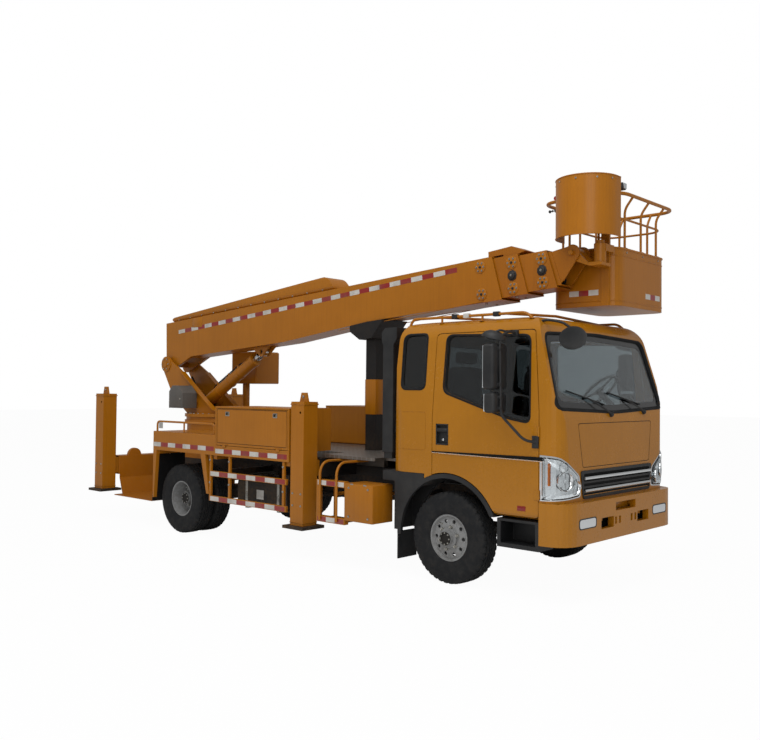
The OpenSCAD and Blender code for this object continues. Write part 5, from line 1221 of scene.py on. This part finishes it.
bm = bmesh.new()
tube(bm, loop(0.065, 3.475), 0.0165, sides=14, closed=True)
tube(bm, loop(-0.02, 3.275), 0.0105, sides=12, closed=True)
posts = [(x, y, lean, 0) for y in (0.34, 0.66, 0.98) for x, lean in ((2.67, -0.085), (3.31, 0.085))]
posts += [(x, y, 0, lean) for x in (2.84, 3.14) for y, lean in ((0.17, -0.085), (1.15, 0.085))]
FLANGE = [(0, 0), (0.026, 0), (0.026, 0.004), (0.014, 0.006)]
for x, y, dx, dy in posts:
    tube(bm, [(x, y, 3.0105), (x, y, 3.365), (x + dx, y + dy, 3.475)], 0.0115, 0.05)
    turned(bm, FLANGE, (x, y, 3.006), (0, 0, 1), 20)
done(bm, "basket_tubes", yellow, "platform", ["basket_rails"])
# rolled rim, waist swage and floor edge of the basket
bm = bmesh.new()
tube(bm, loop(0.001, 2.998, 0.15), 0.009, closed=True)
for z in (2.52, 2.93):
    tube(bm, loop(0.0, z, 0.15), 0.0045, sides=8, closed=True)
for y in (0.34, 0.66, 0.98):
    for x, way in ((3.33, 1), (2.65, -1)):
        bolt(bm, (x, y, 2.965), (way, 0, 0), 0.007, 1)
for x in (2.84, 3.14):
    for y, way in ((0.15, -1), (1.17, 1)):
        bolt(bm, (x, y, 2.965), (0, way, 0), 0.007, 1)
done(bm, "basket_rim", [yellow, zinc], "platform")
bm = bmesh.new()
tape(bm, (3.3302, 0.72, 2.60), (3.3302, 1.02, 2.60), 0.05, (1, 0, 0), 0.1)
tape(bm, (2.85, 0.1498, 2.60), (3.15, 0.1498, 2.60), 0.05, (0, -1, 0), 0.1)
done(bm, "basket_tape", [white_film, red_film], "platform")
bm = bmesh.new()
tube(bm, [(3.218, 0.148, 3.43), (3.226, 0.152, 3.50), (3.29, 0.24, 3.52), (3.305, 0.27, 3.56)], 0.0165,
     0.03, 14, 2)
brick(bm, (3.272, 0.235, 3.532), (3.345, 0.312, 3.596), 0.014, 0, 4)
brick(bm, (3.343, 0.245, 3.54), (3.349, 0.302, 3.589), 0.002, 1)
tube(bm, [(3.30, 0.26, 3.535), (3.25, 0.20, 3.44), (3.21, 0.146, 3.33)], 0.005, 0.04, 8)
done(bm, "basket_lamp", [black_moulding, bright_bowl, grey_cabinet], "platform")
wear(yellow, "basket_cover")
# levers, stop button and gauge of the controls, on the side towards the worker
bm = bmesh.new()
for k in range(5):
    at = (2.70 + 0.06 * k, 0.05, 3.38)
    turned(bm, [(0, 0), (0.015, 0), (0.011, 0.012), (0.006, 0.017), (0.005, 0.045), (0, 0.045)], at,
           (0, 1, 0.3), 14)
    turned(bm, [(0, 0.04), (0.008, 0.042), (0.011, 0.05), (0.008, 0.059), (0, 0.061)], at, (0, 1, 0.3), 14)
turned(bm, [(0, 0), (0.02, 0), (0.02, 0.006), (0.016, 0.008), (0.017, 0.02), (0, 0.022)], (2.76, 0.05, 3.50),
       (0, 1, 0), 24, 1)
turned(bm, [(0, 0), (0.028, 0), (0.028, 0.01), (0.024, 0.012), (0.024, 0.008), (0, 0.008)],
       (2.88, 0.05, 3.50), (0, 1, 0), 24, 2)
done(bm, "upper_controls", [black_moulding, red_lens, chrome], "platform")
# welded rim and screws of the rain cover
DRUM_X, DRUM_Y, DRUM_R = 3.1315, -0.01, 0.286
bm = bmesh.new()
arc = [(DRUM_X + DRUM_R * math.cos(a), DRUM_Y + DRUM_R * math.sin(a))
       for a in (math.pi * (1 + k / 24) for k in range(25))]
for z in (3.068, 3.592):
    tube(bm, [(2.8455, 0.055, z)] + [(x, y, z) for x, y in arc] + [(3.4175, 0.055, z)], 0.0045, sides=8)
for x, y in [arc[k] for k in (3, 8, 13, 18, 22)]:
    bolt(bm, (x, y, 3.56), (x - DRUM_X, y - DRUM_Y, 0), 0.007, 1)
done(bm, "cover_rim", [yellow, zinc], "platform")

# ---- roof rails and small cab fittings --------------------------------------------------
# Low tube rails bolted to the roof with small marker lamps, handles inside the screen
# pillars, a red reflector low on each door and the pressed crease of the rear panel.
shell_skin = skin_of("cab_shell")
RAIL_Y = 0.80


def roof(x, y, up=0.0):
    """A point above the roof's skin."""
    hit = shell_skin.ray_cast(Vector((x, y, 4)), Vector((0, 0, -1)))[0]
    return hit + Vector((0, 0, up))


bm = bmesh.new()
for s in (-1, 1):
    run = [roof(x, s * RAIL_Y, 0.055) for x in (1.75, 2.1, 2.45, 2.8, 3.0)]
    tube(bm, [roof(1.70, s * RAIL_Y, -0.003)] + run + [roof(3.07, s * RAIL_Y, -0.003)], 0.0125, 0.05, 12)
    for x in (2.1, 2.55):
        tube(bm, [roof(x, s * RAIL_Y, -0.003), roof(x, s * RAIL_Y, 0.052)], 0.010)
    for x in (1.72, 2.1, 2.55, 3.06):
        turned(bm, FLANGE, roof(x, s * RAIL_Y), (0, 0, 1), 18)
for x in (2.1, 2.8):
    tube(bm, [roof(x, -RAIL_Y, 0.055), roof(x, 0.0, 0.05), roof(x, RAIL_Y, 0.055)], 0.0125)
for x, s, mat in ((2.25, -1, 1), (2.38, -1, 2), (2.70, -1, 1), (2.25, 1, 1), (2.70, 1, 1)):
    at = roof(x, s * RAIL_Y, 0.055)
    brick(bm, at - Vector((0.03, 0.02, 0.02)), at + Vector((0.03, 0.02, 0.022)), 0.005, mat)
done(bm, "roof_rails", [yellow, black_moulding, white_film], "truck")
for side, s in SIDES:
    bm = bmesh.new()
    at = point_on(skin_of(f"door_{side}"), 3.08, 0.74, 0.0, s)
    brick(bm, at - Vector((0.04, 0.003, 0.02)), at + Vector((0.04, 0.003, 0.02)), 0.002)
    done(bm, f"door_reflector_{side}", red_lens, f"door_{side}")
bm = bmesh.new()
for s in (-1, 1):
    # pressed crease round the lower rear panel, drawn as a shallow bead
    crease = even(eased([(1.72, 1.16), (2.06, 1.16), (2.06, 1.50), (1.72, 1.50)], 0.03), 0.05)
    bead = [point_on(shell_skin, *p, 0.0002, s) for p in crease]
    tube(bm, bead, 0.0022, sides=6, closed=True)
done(bm, "panel_beads", yellow_cab, "truck")
bm = bmesh.new()
for s in (-1, 1):
    tube(bm, sided(s, (3.05, 0.80, 1.62), (3.035, 0.775, 1.66), (3.01, 0.765, 1.86), (3.01, 0.79, 1.90)),
         0.011, 0.03)
done(bm, "pillar_handles", black_moulding, "truck")
